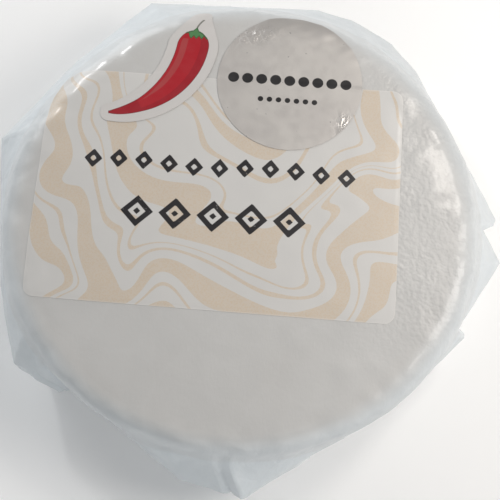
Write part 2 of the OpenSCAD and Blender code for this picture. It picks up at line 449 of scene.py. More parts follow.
    def turn_at(self, s: Array, z: Array) -> Array:
        """How far the folds lean round the wheel.

        Args:
            s: Distance from the middle of the top, along the surface.
            z: Height of the paper there.

        Returns:
            The lean, in degrees.
        """
        down = (self.pleat_z - z) / (self.pleat_z - self.heel)
        side = self.lean * np.clip(down, -self.lean_back, 1.0)
        side = side * smooth((s - self.flat) / (self.shoulder_end - self.flat))
        inside = np.clip((s - self.heel_end) / self.under, 0.0, 1.0)
        return side + self.twist * inside

    def path(self, s: Array, angle: Array, laid: bool = False) -> tuple[
            Array, Array, Array, Array, Array]:
        """The paper's own meridian in one direction.

        Args:
            s: Distance from the middle of the top, along the surface.
            angle: Direction from the axis, before the folds lean, in degrees.
            laid: Whether distances past the flat top are true lengths, as under a sticker.

        Returns:
            Radius, height, the outward normal's two parts, and the clearance from the wheel.
        """
        r, z, out, up = self.profile(s)
        reach = self.reach(angle)
        side = (s > self.flat) & (s < self.crest)
        past = s - self.flat
        along = past if laid else past / (self.crest - self.flat)
        far, high, bent = self.taut(np.clip(along, 0.0, None), reach, not laid)
        low = r + np.where(s >= self.crest, self.spread(s, z) * reach, 0.0)
        r, z = np.where(side, far, low), np.where(side, high, z)
        out, up = np.where(side, np.sin(bent), out), np.where(side, np.cos(bent), up)
        clear = np.where(s > self.heel_end, self.spread(s, z) * reach, self.clearance(r, z))
        return r, z, out, up, clear

    def stand_off(self, s: Array, angle: Array) -> Array:
        """How clear of the cheese the paper is, with a paler rim by place alone that is partly
        painted light.

        Args:
            s: Distance from the middle of the top, along the surface.
            angle: Direction from the axis, before the folds lean, in degrees.

        Returns:
            Numbers from 0, where it lies tight, to 1.
        """
        clear = self.path(s, angle)[4]
        # Partly painted light: past the flat top the paper turns towards the paler loose tone by
        # its place alone, evening out the shoulder's shade.
        lift_and_painted_light = self.rim_lift_and_painted_light * self.rim_lift_and_painted_light_ramp.at(s - self.flat)
        return np.maximum(self.tone_ramp.at(clear), lift_and_painted_light)

    def surface(self, s: Array, angle: Array, bridged: bool = False) -> Array:
        """Points of the wrapper.

        Args:
            s: Distance from the middle of the top, along the surface.
            angle: Direction from the axis, before the folds lean, in degrees.
            bridged: Whether the fold steps are filled up, as under a sticker that spans them.

        Returns:
            One row of X, Y and Z for each point, in millimetres around the axis.
        """
        s, angle = np.broadcast_arrays(np.asarray(s, float), np.asarray(angle, float))
        r, z, out, up, clear = self.path(s, angle, laid=bridged)
        radius = self.slumped(r, angle)
        around = np.radians(angle + self.turn_at(s, z))
        flat = np.stack([radius * np.cos(around), radius * np.sin(around), z], axis=-1)

        layers = self.fold_step * (1.0 if bridged else self.layer(angle))
        lift = layers * self.fold_ramp.at(s - self.crest)
        loose = self.loose_ramp.at(clear)
        rim = self.rim_ramp.at(s - self.flat) * self.crest_ramp.at(self.crest - s)
        ripple = rippled(flat, self.tight_ripples)
        ripple = ripple + loose * rippled(flat, self.loose_ripples)
        ripple = ripple + rim * rippled(flat, self.rim_ripples)
        top = self.crest_ramp.at(self.flat - s)
        for c in self.creases:
            ripple = ripple + top * c.at(flat)
        lift = (lift + ripple) * (s < self.heel_end)

        radius = radius + out * lift
        z = z + np.maximum(up, 0.0) * lift
        under = self.under_ramp.at(s - self.heel_end)
        under = under * smooth((r - self.foot * self.foot_rise) / self.foot)
        wavy = np.abs(rippled(flat, (self.under_ripple,)))
        folded = under * (self.fold_step - layers + wavy)
        z = np.where(s >= self.heel_end, folded, z)
        return np.stack([radius * np.cos(around), radius * np.sin(around), z], axis=-1)

    def drape(self, flat: Array, lift: Array) -> Array:
        """Flat points laid on the wrapper.

        Args:
            flat: Rows of X and Y around the axis, in millimetres.
            lift: Distance above the wrapper, one for each row.

        Returns:
            Rows of X, Y and Z, in millimetres around the axis.
        """
        s = np.maximum(np.hypot(flat[:, 0], flat[:, 1]), self.probe)
        angle = np.degrees(np.arctan2(flat[:, 1], flat[:, 0]))
        turn = math.degrees(self.probe) / s
        down = self._laid(s + self.probe / 2, angle) - self._laid(s - self.probe / 2, angle)
        along = self._laid(s, angle + turn / 2) - self._laid(s, angle - turn / 2)
        return self._laid(s, angle) + lift[:, None] * unit(np.cross(down, along))

    def _laid(self, s: Array, angle: Array) -> Array:
        """Points under a sticker at a true direction from the axis, with the folds bridged."""
        z = self.path(s, angle, laid=True)[1]
        return self.surface(s, angle - self.turn_at(s, z), bridged=True)


def wheel_axis(label_y: float, label_width: float, seal_x: float) -> Array:
    """Where the wheel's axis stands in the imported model, in millimetres.

    Args:
        label_y: The label's middle from the axis, along Y.
        label_width: The label's width.
        seal_x: The seal's middle from the axis, along X.

    Returns:
        X, Y and Z of the axis on the resting surface.
    """
    seal_low, seal_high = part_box("round_seal")
    label_low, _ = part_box("main_label")
    x = (seal_low.x + seal_high.x) / 2 / MM - seal_x
    y = label_low.y / MM - (label_y - label_width / 2)
    return np.array([x, y, 0.0])


# ---- Mesh work ----

class Bench:
    """Keeps the wheel and its axis, and turns primitives into finished pieces."""

    def __init__(self, wheel: Wheel, axis: Array) -> None:
        """Remembers the surface that pieces lie on and where it stands."""
        self.wheel = wheel
        self.axis = axis

    @staticmethod
    def clear() -> None:
        """Leaves edit mode and selects nothing."""
        if bpy.context.object and bpy.context.object.mode != "OBJECT":
            bpy.ops.object.mode_set(mode="OBJECT")
        bpy.ops.object.select_all(action="DESELECT")

    def globe(self, name: str, segments: int, rings: int) -> bpy.types.Object:
        """Adds a closed globe and selects it alone.

        Args:
            name: Its name.
            segments: Number of its columns.
            rings: Number of its rows of faces.

        Returns:
            The globe.
        """
        self.clear()
        bpy.ops.mesh.primitive_uv_sphere_add(segments=segments, ring_count=rings, radius=1.0)
        piece = bpy.context.object
        piece.name = piece.data.name = name
        return piece

    def leaf(self, name: str, columns: int, rows: int) -> bpy.types.Object:
        """Adds a flat grid from -1 to 1 both ways and selects it alone.

        Args:
            name: Its name.
            columns: Number of faces along X.
            rows: Number of faces along Y.

        Returns:
            The grid.
        """
        self.clear()
        bpy.ops.mesh.primitive_grid_add(x_subdivisions=columns, y_subdivisions=rows, size=2.0)
        piece = bpy.context.object
        piece.name = piece.data.name = name
        return piece

    def place(self, piece: bpy.types.Object, points: Array) -> None:
        """Moves a piece's vertices.

        Args:
            piece: The piece.
            points: A row of X, Y and Z for each vertex, in millimetres around the axis.
        """
        metres = (points + self.axis) * MM
        piece.data.vertices.foreach_set("co", metres.astype(np.float32).ravel())
        piece.data.update()

    @staticmethod
    def places(piece: bpy.types.Object) -> Array:
        """Reads a piece's vertices.

        Args:
            piece: The piece.

        Returns:
            Rows of X, Y and Z.
        """
        flat = np.empty(len(piece.data.vertices) * 3, np.float32)
        piece.data.vertices.foreach_get("co", flat)
        return flat.reshape(-1, 3).astype(float)

    @staticmethod
    def mark(piece: bpy.types.Object, name: str, values: Array) -> None:
        """Writes one number for each vertex as a named attribute."""
        store = piece.data.attributes.new(name, "FLOAT", "POINT")
        store.data.foreach_set("value", np.asarray(values, np.float32))

    def thicken(self, piece: bpy.types.Object, thickness: float) -> None:
        """Gives a sheet its thickness, below its face.

        Args:
            piece: The sheet.
            thickness: Its thickness, in millimetres.
        """
        self.clear()
        bpy.context.view_layer.objects.active = piece
        piece.select_set(True)
        solid = piece.modifiers.new("thickness", "SOLIDIFY")
        solid.thickness = thickness * MM
        solid.offset = -1.0
        solid.use_even_offset = False
        bpy.ops.object.modifier_apply(modifier=solid.name)

    def finish(self, piece: bpy.types.Object, node: str, slot: str,
               material: bpy.types.Material, sharp: float = 40.0) -> None:
        """Smooths, dresses and hands over a finished piece.

        Args:
            piece: The finished mesh.
            node: The CAD node that it stands for.
            slot: The record's material slot; not used.
            material: Its finish.
            sharp: Angle in degrees above which an edge stays sharp.
        """
        self.clear()
        bpy.context.view_layer.objects.active = piece
        piece.select_set(True)
        bpy.ops.object.shade_smooth_by_angle(angle=math.radians(sharp))
        piece.data.materials.clear()
        piece.data.materials.append(material)
        self.clear()
        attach(piece, "root")
        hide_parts(node)
        LOG.info("%s: %d faces", piece.name, len(piece.data.polygons))


# ---- Shader work ----

class Slot(Enum):
    """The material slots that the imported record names."""

    PAPER = "waxed_paper"
    LABEL = "label_paper"
    FILM = "silver_film"
    STICKER = "sticker_paper"


@dataclass(frozen=True)
class Cloud:
    """Soft patches that noise makes.

    Attributes:
        wavelength: Rough distance between two patches, in millimetres.
        limits: Between which values of the noise a patch fades in.
        values: What stands outside the patches, and in them.
        detail: How many finer layers the noise has, and rough their strength.
    """

    wavelength: float
    limits: tuple[float, float] = (0.3, 0.7)
    values: tuple[float, float] = (0.0, 1.0)
    detail: float = 2.0
    rough: float = 0.5


class Nodes:
    """Adds and links the nodes of one material or group."""

    def __init__(self, tree: bpy.types.NodeTree) -> None:
        """Remembers the node tree that is being built."""
        self.tree = tree

    def add(self, kind: str, inputs: dict | None = None, **settings: object) -> bpy.types.Node:
        """Adds a node.

        Args:
            kind: Name of the node's class.
            inputs: Values or sockets for its inputs, by name or number.
            **settings: Properties of the node.

        Returns:
            The new node.
        """
        node = self.tree.nodes.new(kind)
        for name, value in settings.items():
            setattr(node, name, value)
        for key, value in (inputs or {}).items():
            if isinstance(value, bpy.types.NodeSocket):
                self.tree.links.new(value, node.inputs[key])
            else:
                node.inputs[key].default_value = value
        return node

    def math(self, operation: str, a: object, b: object = 0.0) -> bpy.types.NodeSocket:
        """The result of one sum on two values or sockets."""
        return self.add("ShaderNodeMath", {0: a, 1: b}, operation=operation).outputs[0]

    def blend(self, share: object, a: object, b: object, way: str = "MIX") -> bpy.types.NodeSocket:
        """Colour a, turned into colour b by a share from 0 to 1."""
        pair = {6: self.paint(a), 7: self.paint(b), 0: share}
        return self.add("ShaderNodeMix", pair, data_type="RGBA", blend_type=way).outputs[2]

    @staticmethod
    def paint(colour: object) -> object:
        """A colour with its fourth number, or the socket as it is."""
        return colour if isinstance(colour, bpy.types.NodeSocket) else (*colour, 1.0)

    def step(self, value: object, low: float, high: float,
             start: float = 0.0, end: float = 1.0) -> bpy.types.NodeSocket:
        """A smooth change from start to end as the value goes from low to high."""
        ends = {"Value": value, "From Min": low, "From Max": high, "To Min": start, "To Max": end}
        return self.add("ShaderNodeMapRange", ends, interpolation_type="SMOOTHSTEP").outputs[0]

    def attribute(self, name: str) -> bpy.types.NodeSocket:
        """The number that a piece's mesh holds under that name."""
        return self.add("ShaderNodeAttribute", attribute_name=name).outputs["Fac"]

    def place(self) -> bpy.types.NodeSocket:
        """Object coordinates."""
        return self.add("ShaderNodeTexCoord").outputs["Object"]

    def noise(self, place: object, wavelength: float, detail: float = 2.0,
              rough: float = 0.5) -> bpy.types.NodeSocket:
        """Cloudy noise from 0 to 1 whose clouds are about one wavelength in millimetres."""
        cloud = {"Scale": 1.0 / (wavelength * MM), "Detail": detail, "Roughness": rough}
        return self.add("ShaderNodeTexNoise", {"Vector": place, **cloud}).outputs[0]

    def cloud(self, place: object, c: Cloud) -> bpy.types.NodeSocket:
        """The patches of a cloud at a place."""
        return self.step(self.noise(place, c.wavelength, c.detail, c.rough), *c.limits, *c.values)

    def bump(self, height: object, depth: float, normal: object = None) -> bpy.types.NodeSocket:
        """A bumped normal.

        Args:
            height: The relief, where a difference of 1 stands for the depth.
            depth: That depth, in millimetres.
            normal: The normal that is bumped, or None for the mesh's own.

        Returns:
            The new normal's socket.
        """
        inputs = {"Height": height, "Distance": depth * MM, "Strength": 1.0}
        if normal is not None:
            inputs["Normal"] = normal
        return self.add("ShaderNodeBump", inputs).outputs[0]


def new_group(name: str, inputs: dict[str, float], outputs: tuple[str, ...]) -> tuple[
        bpy.types.NodeTree, Nodes, bpy.types.Node, bpy.types.Node]:
    """An empty shader group of float sockets.

    Args:
        name: The group's name.
        inputs: Names of its inputs and their usual values.
        outputs: Names of its outputs.

    Returns:
        The group, its builder, its input node and its output node.
    """
    tree = bpy.data.node_groups.new(name, "ShaderNodeTree")
    kind = "NodeSocketFloat"
    for name, value in inputs.items():
        socket = tree.interface.new_socket(name, in_out="INPUT", socket_type=kind)
        socket.default_value = value
    for name in outputs:
        tree.interface.new_socket(name, in_out="OUTPUT", socket_type=kind)
    build = Nodes(tree)
    return tree, build, build.add("NodeGroupInput"), build.add("NodeGroupOutput")


class Grain:
    """The fibres, cloudy tone and fine handling marks that every paper here has.

    Attributes:
        NAME: The shared group's name.
        STRETCH: How much closer the fibres lie along X, Y and Z, as rates.
        TURN: Turn of the fibres around Z, in radians.
        FIBRE: Wavelength, detail and roughness of the fibres' noise.
        TONE: The same for the cloudy tone.
        DENTS: Fine handling marks.
        SPECKS: Small darker specks.
    """

    NAME = "paper_grain"
    STRETCH = (1.0, 0.35, 1.0)
    TURN = 0.6
    FIBRE = (0.55, 3.0, 0.65)
    TONE = (17.0, 3.0, 0.6)
    DENTS = Cloud(5.0, (0.62, 0.78), detail=1.0)
    SPECKS = Cloud(0.9, (0.68, 0.78), (0.0, -0.25), 2.0, 0.7)

    def __init__(self) -> None:
        """Builds the shared group once."""
        inputs = {"Fibre": 1.0, "Clouds": 1.0, "Dents": 0.5}
        self.tree, n, given, made = new_group(self.NAME, inputs, ("Height", "Tone"))
        place = n.place()
        turn = {"Scale": self.STRETCH, "Rotation": (0.0, 0.0, self.TURN)}
        stretched = n.add("ShaderNodeMapping", {"Vector": place, **turn}).outputs[0]
        fibre = n.math("MULTIPLY", n.noise(stretched, *self.FIBRE), given.outputs["Fibre"])
        dents = n.math("MULTIPLY", n.cloud(place, self.DENTS), given.outputs["Dents"])
        n.tree.links.new(n.math("SUBTRACT", fibre, dents), made.inputs["Height"])
        clouds = n.math("SUBTRACT", n.noise(place, *self.TONE), 0.5)
        clouds = n.math("MULTIPLY", clouds, given.outputs["Clouds"])
        specks = n.math("MULTIPLY", n.cloud(place, self.SPECKS), given.outputs["Clouds"])
        n.tree.links.new(n.math("ADD", n.math("ADD", clouds, specks), 1.0), made.inputs["Tone"])

    def use(self, n: Nodes, fibre: float, clouds: float, dents: float) -> tuple[
            bpy.types.NodeSocket, bpy.types.NodeSocket]:
        """Places the group in a material.

        Args:
            n: The material's nodes.
            fibre: Height of the fibres.
            clouds: Strength of the cloudy tone.
            dents: Depth of the handling marks.

        Returns:
            Its height and its tone.
        """
        node = n.add("ShaderNodeGroup", node_tree=self.tree)
        node.inputs["Fibre"].default_value = fibre
        node.inputs["Clouds"].default_value = clouds
        node.inputs["Dents"].default_value = dents
        return node.outputs["Height"], node.outputs["Tone"]


class Crumple:
    """Flat facets that meet in sharp creases, as in crumpled paper or creased film.

    Attributes:
        NAME: The shared group's name.
        WIDTH: Usual width of the largest facets, in millimetres.
        WANDER: Wavelength by which their edges wander, and how far, in millimetres.
        FACETS: Rate and share of each size of facet.
        LINE: Height at which a crease line has faded out.
    """

    NAME = "crumple"
    WIDTH = 6.0
    WANDER = (100.0 / 9.0, 4.0)
    FACETS = ((1.0, 0.6), (2.3, 0.3), (4.9, 0.1))
    LINE = 0.035

    def __init__(self) -> None:
        """Builds the shared group once."""
        inputs = {"Width": self.WIDTH}
        self.tree, n, given, made = new_group(self.NAME, inputs, ("Height", "Creases"))
        place = n.place()
        wavelength, wander = self.WANDER
        clouds = {"Vector": place, "Scale": 1.0 / (wavelength * MM), "Detail": 1.0}
        bent = n.add("ShaderNodeTexNoise", clouds).outputs[1]
        bent = n.add("ShaderNodeVectorMath", {0: bent, "Scale": wander * MM}, operation="SCALE")
        bent = n.add("ShaderNodeVectorMath", {0: place, 1: bent.outputs[0]}).outputs[0]
        scale = n.math("DIVIDE", 1.0 / MM, given.outputs["Width"])
        heights = []
        for rate, share in self.FACETS:
            rated = n.math("MULTIPLY", scale, rate)
            edge = n.add("ShaderNodeTexVoronoi", {"Vector": bent, "Scale": rated},
                         feature="DISTANCE_TO_EDGE").outputs["Distance"]
            heights.append(n.math("MULTIPLY", edge, share))
        total = n.math("ADD", n.math("ADD", heights[0], heights[1]), heights[2])
        n.tree.links.new(total, made.inputs["Height"])
        n.tree.links.new(n.step(heights[0], 0.0, self.LINE, 1.0, 0.0), made.inputs["Creases"])

    def use(self, n: Nodes, width: float) -> tuple[bpy.types.NodeSocket, bpy.types.NodeSocket]:
        """Places the group in a material.

        Args:
            n: The material's nodes.
            width: Width of the largest facets, in millimetres.

        Returns:
            Its height and its crease lines.
        """
        node = n.add("ShaderNodeGroup", node_tree=self.tree)
        node.inputs["Width"].default_value = width
        return node.outputs["Height"], node.outputs["Creases"]


@dataclass(frozen=True)
class Gloss:
    """The shine of a finish.

    Attributes:
        coat: Weight of the clear coat.
        coat_rough: Roughness of the coat.
        rough: Roughness of the surface below it, drifting in soft patches.
    """

    coat: float
    coat_rough: float
    rough: Cloud


class Finish:
    """A material with a Principled shader, ready for its colour, roughness and normal."""

    def __init__(self, slot: Slot, gloss: Gloss) -> None:
        """Makes the material and sets the constants of its shader.

        Args:
            slot: The material's slot, which names it.
            gloss: Its shine.
        """
        self.material = bpy.data.materials.new(slot.value)
        self.material.use_nodes = True
        self.nodes = Nodes(self.material.node_tree)
        self.shader = self.material.node_tree.nodes["Principled BSDF"]
        self.shader.inputs["Coat Roughness"].default_value = gloss.coat_rough
        self.shader.inputs["Coat Weight"].default_value = gloss.coat
        self.gloss = gloss

    def toned(self, colour: object, tone: object) -> bpy.types.NodeSocket:
        """The colour with each of its channels multiplied by a tone."""
        grey = self.nodes.add("ShaderNodeCombineColor", {0: tone, 1: tone, 2: tone}).outputs[0]
        return self.nodes.blend(1.0, colour, grey, "MULTIPLY")

    def rough(self) -> bpy.types.NodeSocket:
        """The roughness that the gloss asks for."""
        return self.nodes.cloud(self.nodes.place(), self.gloss.rough)

    def wire(self, **sockets: bpy.types.NodeSocket) -> bpy.types.Material:
        """Links sockets to the shader's inputs.

        Args:
            **sockets: A socket for each input, by the input's name with _ for a space.

        Returns:
            The material.
        """
        for name, socket in sockets.items():
            self.nodes.tree.links.new(socket, self.shader.inputs[name.replace("_", " ")])
        return self.material


@dataclass(frozen=True)
class WaxedPaper:
    """The wrapper's paper: warm where it lies on the cheese, cooler where it stands clear.

    Attributes:
        contact: Colour where it touches the cheese.
        loose: Colour where it stands clear.
        damp: Colour of the darker patches where it touches.
        line: Colour of fine crease lines, and edge that of a fold's edge.
        edge_share: Share of that edge's colour.
        patches: Where the paper is damp.
        dimples: Wavelength, detail and roughness of the waxy skin's dimples.
        facet: Width of the crumpling's facets, in mm.
        line_share: Clearance over which the crease lines grow paler, and their share before
            and after.
        crease_share: The same for the crumpling's height.
        depths: Depths of the fibres, of the dimples and of the crumpling, in mm.
    """

    contact: Colour = (0.50, 0.495, 0.485)
    loose: Colour = (0.60, 0.64, 0.665)
    damp: Colour = (0.47, 0.455, 0.435)
    line: Colour = (0.78, 0.79, 0.80)
    edge: Colour = (0.80, 0.80, 0.79)
    edge_share: float = 0.45
    patches: Cloud = Cloud(26.0, (0.52, 0.72), (0.0, 0.3))
    dimples: tuple[float, float, float] = (1.0, 1.0, 0.4)
    facet: float = 13.0
    line_share: tuple[float, float, float, float] = (0.1, 0.8, 0.02, 0.07)
    crease_share: tuple[float, float, float, float] = (0.0, 1.0, 0.04, 1.0)
    depths: tuple[float, float, float] = (0.03, 0.22, 0.7)
    gloss: Gloss = Gloss(coat=0.35, coat_rough=0.17, rough=Cloud(4.0, values=(0.36, 0.50)))

    def build(self, grain: Grain, crumple: Crumple) -> bpy.types.Material:
        """Makes the material.

        Args:
            grain: The shared fibres and clouds.
            crumple: The shared facets.

        Returns:
            The material.
        """
        finish = Finish(Slot.PAPER, self.gloss)
        n = finish.nodes
        height, tone = grain.use(n, fibre=1.0, clouds=0.12, dents=0.4)
        folds, lines = crumple.use(n, self.facet)
        clear = n.attribute("stand_off")
        dimples = n.math("MULTIPLY", n.attribute("peel"), n.noise(n.place(), *self.dimples))

        colour = n.blend(n.cloud(n.place(), self.patches), self.contact, self.damp)
        # The stand-off tone also carries the rim's painted light.
        colour = n.blend(clear, colour, self.loose)
        pale = n.math("MULTIPLY", lines, n.step(clear, *self.line_share))
        colour = n.blend(pale, colour, self.line)
        edge = n.math("MULTIPLY", n.attribute("fold_edge"), self.edge_share)
        colour = finish.toned(n.blend(edge, colour, self.edge), tone)

        crease = n.math("MULTIPLY", folds, n.step(clear, *self.crease_share))
        normal = None
        for relief, depth in zip((height, dimples, crease), self.depths):
            normal = n.bump(relief, depth, normal)
        return finish.wire(Base_Color=colour, Roughness=finish.rough(), Normal=normal)


@dataclass(frozen=True)
class LabelPaper:
    """Marbled label paper with dark ornaments printed on it.

    Attributes:
        pale: Colour of the bare paper, and tan that of the marbling's bands.
        cut: Colour of the paper's cut edge.
        span: Distance from the rings' heart that the bands cover, in mm.
        bands: Where each tan band begins and ends, at that distance.
        dot: Pitch of the print's dots, in mm.
        dot_share: Distance over which a dot's colour fades, and its share before and after.
        wear: Where the ink is worn, and wear_share how much of it stands there and elsewhere.
        cut_share: Distance from the rim over which the cut edge's colour fades, and its share
            before and after.
        ink_polish: How much smoother the ink is.
        depth: Depth of the fibres, in mm.
    """

    pale: Colour = (0.56, 0.55, 0.535)
    tan: Colour = (0.55, 0.46, 0.36)
    ink: Colour = (0.016, 0.014, 0.016)
    cut: Colour = (0.70, 0.68, 0.66)
    span: float = 64.0
    bands: tuple[tuple[float, float], ...] = (
        (2.0, 6.0), (9.6, 10.3), (12.0, 15.4), (19.0, 19.8), (26.6, 27.1), (29.4, 34.2),
        (37.2, 37.7), (39.6, 40.6), (43.6, 48.4), (51.5, 52.2), (54.5, 58.0))
    dot: float = 0.42
    dot_share: tuple[float, float, float, float] = (0.25, 0.6, 1.0, 0.72)
    wear: Cloud = Cloud(1.1, (0.30, 0.36), detail=3.0, rough=0.7)
    wear_share: tuple[float, float] = (0.8, 1.0)
    cut_share: tuple[float, float, float, float] = (0.0, 0.35, 0.35, 0.0)
    ink_polish: float = 0.08
    depth: float = 0.02
    gloss: Gloss = Gloss(coat=0.35, coat_rough=0.2, rough=Cloud(3.0, values=(0.40, 0.52)))

    def build(self, grain: Grain) -> bpy.types.Material:
        """Makes the material.

        Args:
            grain: The shared fibres and clouds.

        Returns:
            The material.
        """
        finish = Finish(Slot.LABEL, self.gloss)
        n = finish.nodes
        height, tone = grain.use(n, fibre=0.6, clouds=0.08, dents=0.3)
        voronoi = {"Vector": n.place(), "Scale": 1.0 / (self.dot * MM)}
        dots = n.add("ShaderNodeTexVoronoi", voronoi).outputs["Distance"]
        tinted = n.math("MULTIPLY", self._banded(n), n.step(dots, *self.dot_share))
        colour = finish.toned(n.blend(tinted, self.pale, self.tan), tone)

        worn = n.step(n.cloud(n.place(), self.wear), 0.0, 1.0, *self.wear_share)
        printed = n.step(n.attribute("ink"), -CRISP, CRISP)
        printed = n.math("MULTIPLY", printed, worn)
        colour = n.blend(printed, colour, self.ink)
        colour = n.blend(n.step(n.attribute("rim"), *self.cut_share), colour, self.cut)
        smoother = n.math("MULTIPLY", printed, self.ink_polish)
        rough = n.math("SUBTRACT", finish.rough(), smoother)
        return finish.wire(Base_Color=colour, Roughness=rough, Normal=n.bump(height, self.depth))

    def _banded(self, n: Nodes) -> bpy.types.NodeSocket:
        """The marbling as 1 in its bands and 0 between them.

        Args:
            n: The material's nodes.

        Returns:
            A socket that reads the mesh's distance from the rings' heart.
        """
        share = n.math("DIVIDE", n.attribute("marble"), self.span)
        ramp = n.add("ShaderNodeValToRGB", {0: share})
        ramp.color_ramp.interpolation = "CONSTANT"
        stops = ramp.color_ramp.elements
        stops[0].color = stops[1].color = (0.0, 0.0, 0.0, 1.0)
        for start, end in self.bands:
            for place, value in ((start, 1.0), (end, 0.0)):
                stops.new(place / self.span).color = (value, value, value, 1.0)
        return ramp.outputs[0]


@dataclass(frozen=True)
class SilverFilm:
    """The round seal's creased silver film with dark dots printed on it.

    Attributes:
        film: Colour of the film, and dull that of its duller patches.
        line: Colour of its sharp creases, pale: a painted highlight along them.
        shade: Colour of the painted shade where it bends over the wheel's edge.
        fleck: Colour of its small flecks.
        metal: How metallic the film is.
        polish: How much smoother it is where it is creased.
        patches: Where it is duller.
        flecks: Where it has small flecks.
        facet: Width of the creases' facets, in mm.
        line_share: Share of that painted crease highlight's colour.
        crease_share: Creasing over which the creases grow deeper, and their depth before and
            after.
        depths: Depths of the grain and of the creases, in mm.
    """

    film: Colour = (0.54, 0.515, 0.49)
    dull: Colour = (0.50, 0.475, 0.455)
    line: Colour = (0.80, 0.79, 0.77)
    shade: Colour = (0.36, 0.345, 0.33)
    fleck: Colour = (0.32, 0.31, 0.30)
    ink: Colour = (0.014, 0.013, 0.014)
    metal: float = 0.3
    polish: float = 0.18
    patches: Cloud = Cloud(11.0, (0.4, 0.7), detail=3.0, rough=0.6)
    flecks: Cloud = Cloud(1.0, (0.76, 0.79), detail=1.0)
    facet: float = 3.2
    line_share: float = 0.35
    crease_share: tuple[float, float, float, float] = (0.0, 1.0, 0.02, 1.0)
    depths: tuple[float, float] = (0.02, 0.8)
    gloss: Gloss = Gloss(coat=0.2, coat_rough=0.15, rough=Cloud(2.0, values=(0.34, 0.46)))

    def build(self, grain: Grain, crumple: Crumple) -> bpy.types.Material:
        """Makes the material.

        Args:
            grain: The shared fibres and clouds.
            crumple: The shared facets.

        Returns:
            The material.
        """
        finish = Finish(Slot.FILM, self.gloss)
        n = finish.nodes
        height, tone = grain.use(n, fibre=0.3, clouds=0.12, dents=0.5)
        folds, lines = crumple.use(n, self.facet)
        creased = n.attribute("creased")

        patches = n.cloud(n.place(), self.patches)
        colour = finish.toned(n.blend(patches, self.film, self.dull), tone)
        # Painted highlight: pale crease lines inside the creased patches stand in for glints.
        sharp = n.math("MULTIPLY", lines, n.math("MULTIPLY", creased, self.line_share))
        flecks = n.cloud(n.place(), self.flecks)
        printed = n.step(n.attribute("ink"), -CRISP, CRISP)
        # Painted shade: the seal darkens towards its outer edge, where it bends over the wheel's
        # rim.
        shaded = n.attribute("shaded")
        for share, tint in ((sharp, self.line), (shaded, self.shade), (flecks, self.fleck),
                            (printed, self.ink)):
            colour = n.blend(share, colour, tint)

        metal = n.math("MULTIPLY", n.math("SUBTRACT", 1.0, printed), self.metal)
        rough = n.math("SUBTRACT", finish.rough(), n.math("MULTIPLY", creased, self.polish))
        deep = n.math("MULTIPLY", folds, n.step(creased, *self.crease_share))
        normal = n.bump(deep, self.depths[1], n.bump(height, self.depths[0]))
        return finish.wire(Base_Color=colour, Metallic=metal, Roughness=rough, Normal=normal)


@dataclass(frozen=True)
class ChilliPrint:
    """A glossy sticker with a red chilli, its green cap and grey stem on a pale border.

    Attributes:
        outline_share: Distance inside the fruit's edge over which its outline fades, and its
            share before and after.
        cap_edge: Distance inside the cap's edge over which it turns from dark to green.
        depth: Depth of the fibres, in mm.
    """

    border: Colour = (0.56, 0.54, 0.525)
    red: Colour = (0.37, 0.010, 0.018)
    dark_red: Colour = (0.30, 0.009, 0.017)
    pale_red: Colour = (0.36, 0.045, 0.047)
    outline: Colour = (0.10, 0.035, 0.040)
    green: Colour = (0.075, 0.205, 0.075)
    dark_green: Colour = (0.03, 0.08, 0.03)
    stem: Colour = (0.19, 0.19, 0.17)
    outline_share: tuple[float, float, float, float] = (0.06, 0.18, 0.8, 0.0)
    cap_edge: tuple[float, float] = (0.0, 0.5)
    depth: float = 0.015
    gloss: Gloss = Gloss(coat=0.3, coat_rough=0.18, rough=Cloud(2.5, values=(0.28, 0.38)))

    def build(self, grain: Grain) -> bpy.types.Material:
        """Makes the material.

        Args:
            grain: The shared fibres and clouds.

        Returns:
            The material.
        """
        finish = Finish(Slot.STICKER, self.gloss)
        n = finish.nodes
        height, tone = grain.use(n, fibre=0.4, clouds=0.07, dents=0.3)
        inside = {part: n.attribute(part) for part in ("fruit", "shade", "shine", "stem", "cap")}
        shown = {part: n.step(place, -CRISP, CRISP) for part, place in inside.items()}
        outline = n.step(inside["fruit"], *self.outline_share)
        red = n.blend(shown["shade"], self.red, self.dark_red)
        red = n.blend(shown["shine"], red, self.pale_red)
        red = n.blend(outline, red, self.outline)
        green = n.blend(n.step(inside["cap"], *self.cap_edge), self.dark_green, self.green)
        colour = self.border
        for part, tint in (("fruit", red), ("stem", self.stem), ("cap", green)):
            colour = n.blend(shown[part], colour, tint)
        colour = finish.toned(colour, tone)
        return finish.wire(Base_Color=colour, Roughness=finish.rough(),
                           Normal=n.bump(height, self.depth))


# ---- The wrapped wheel ----

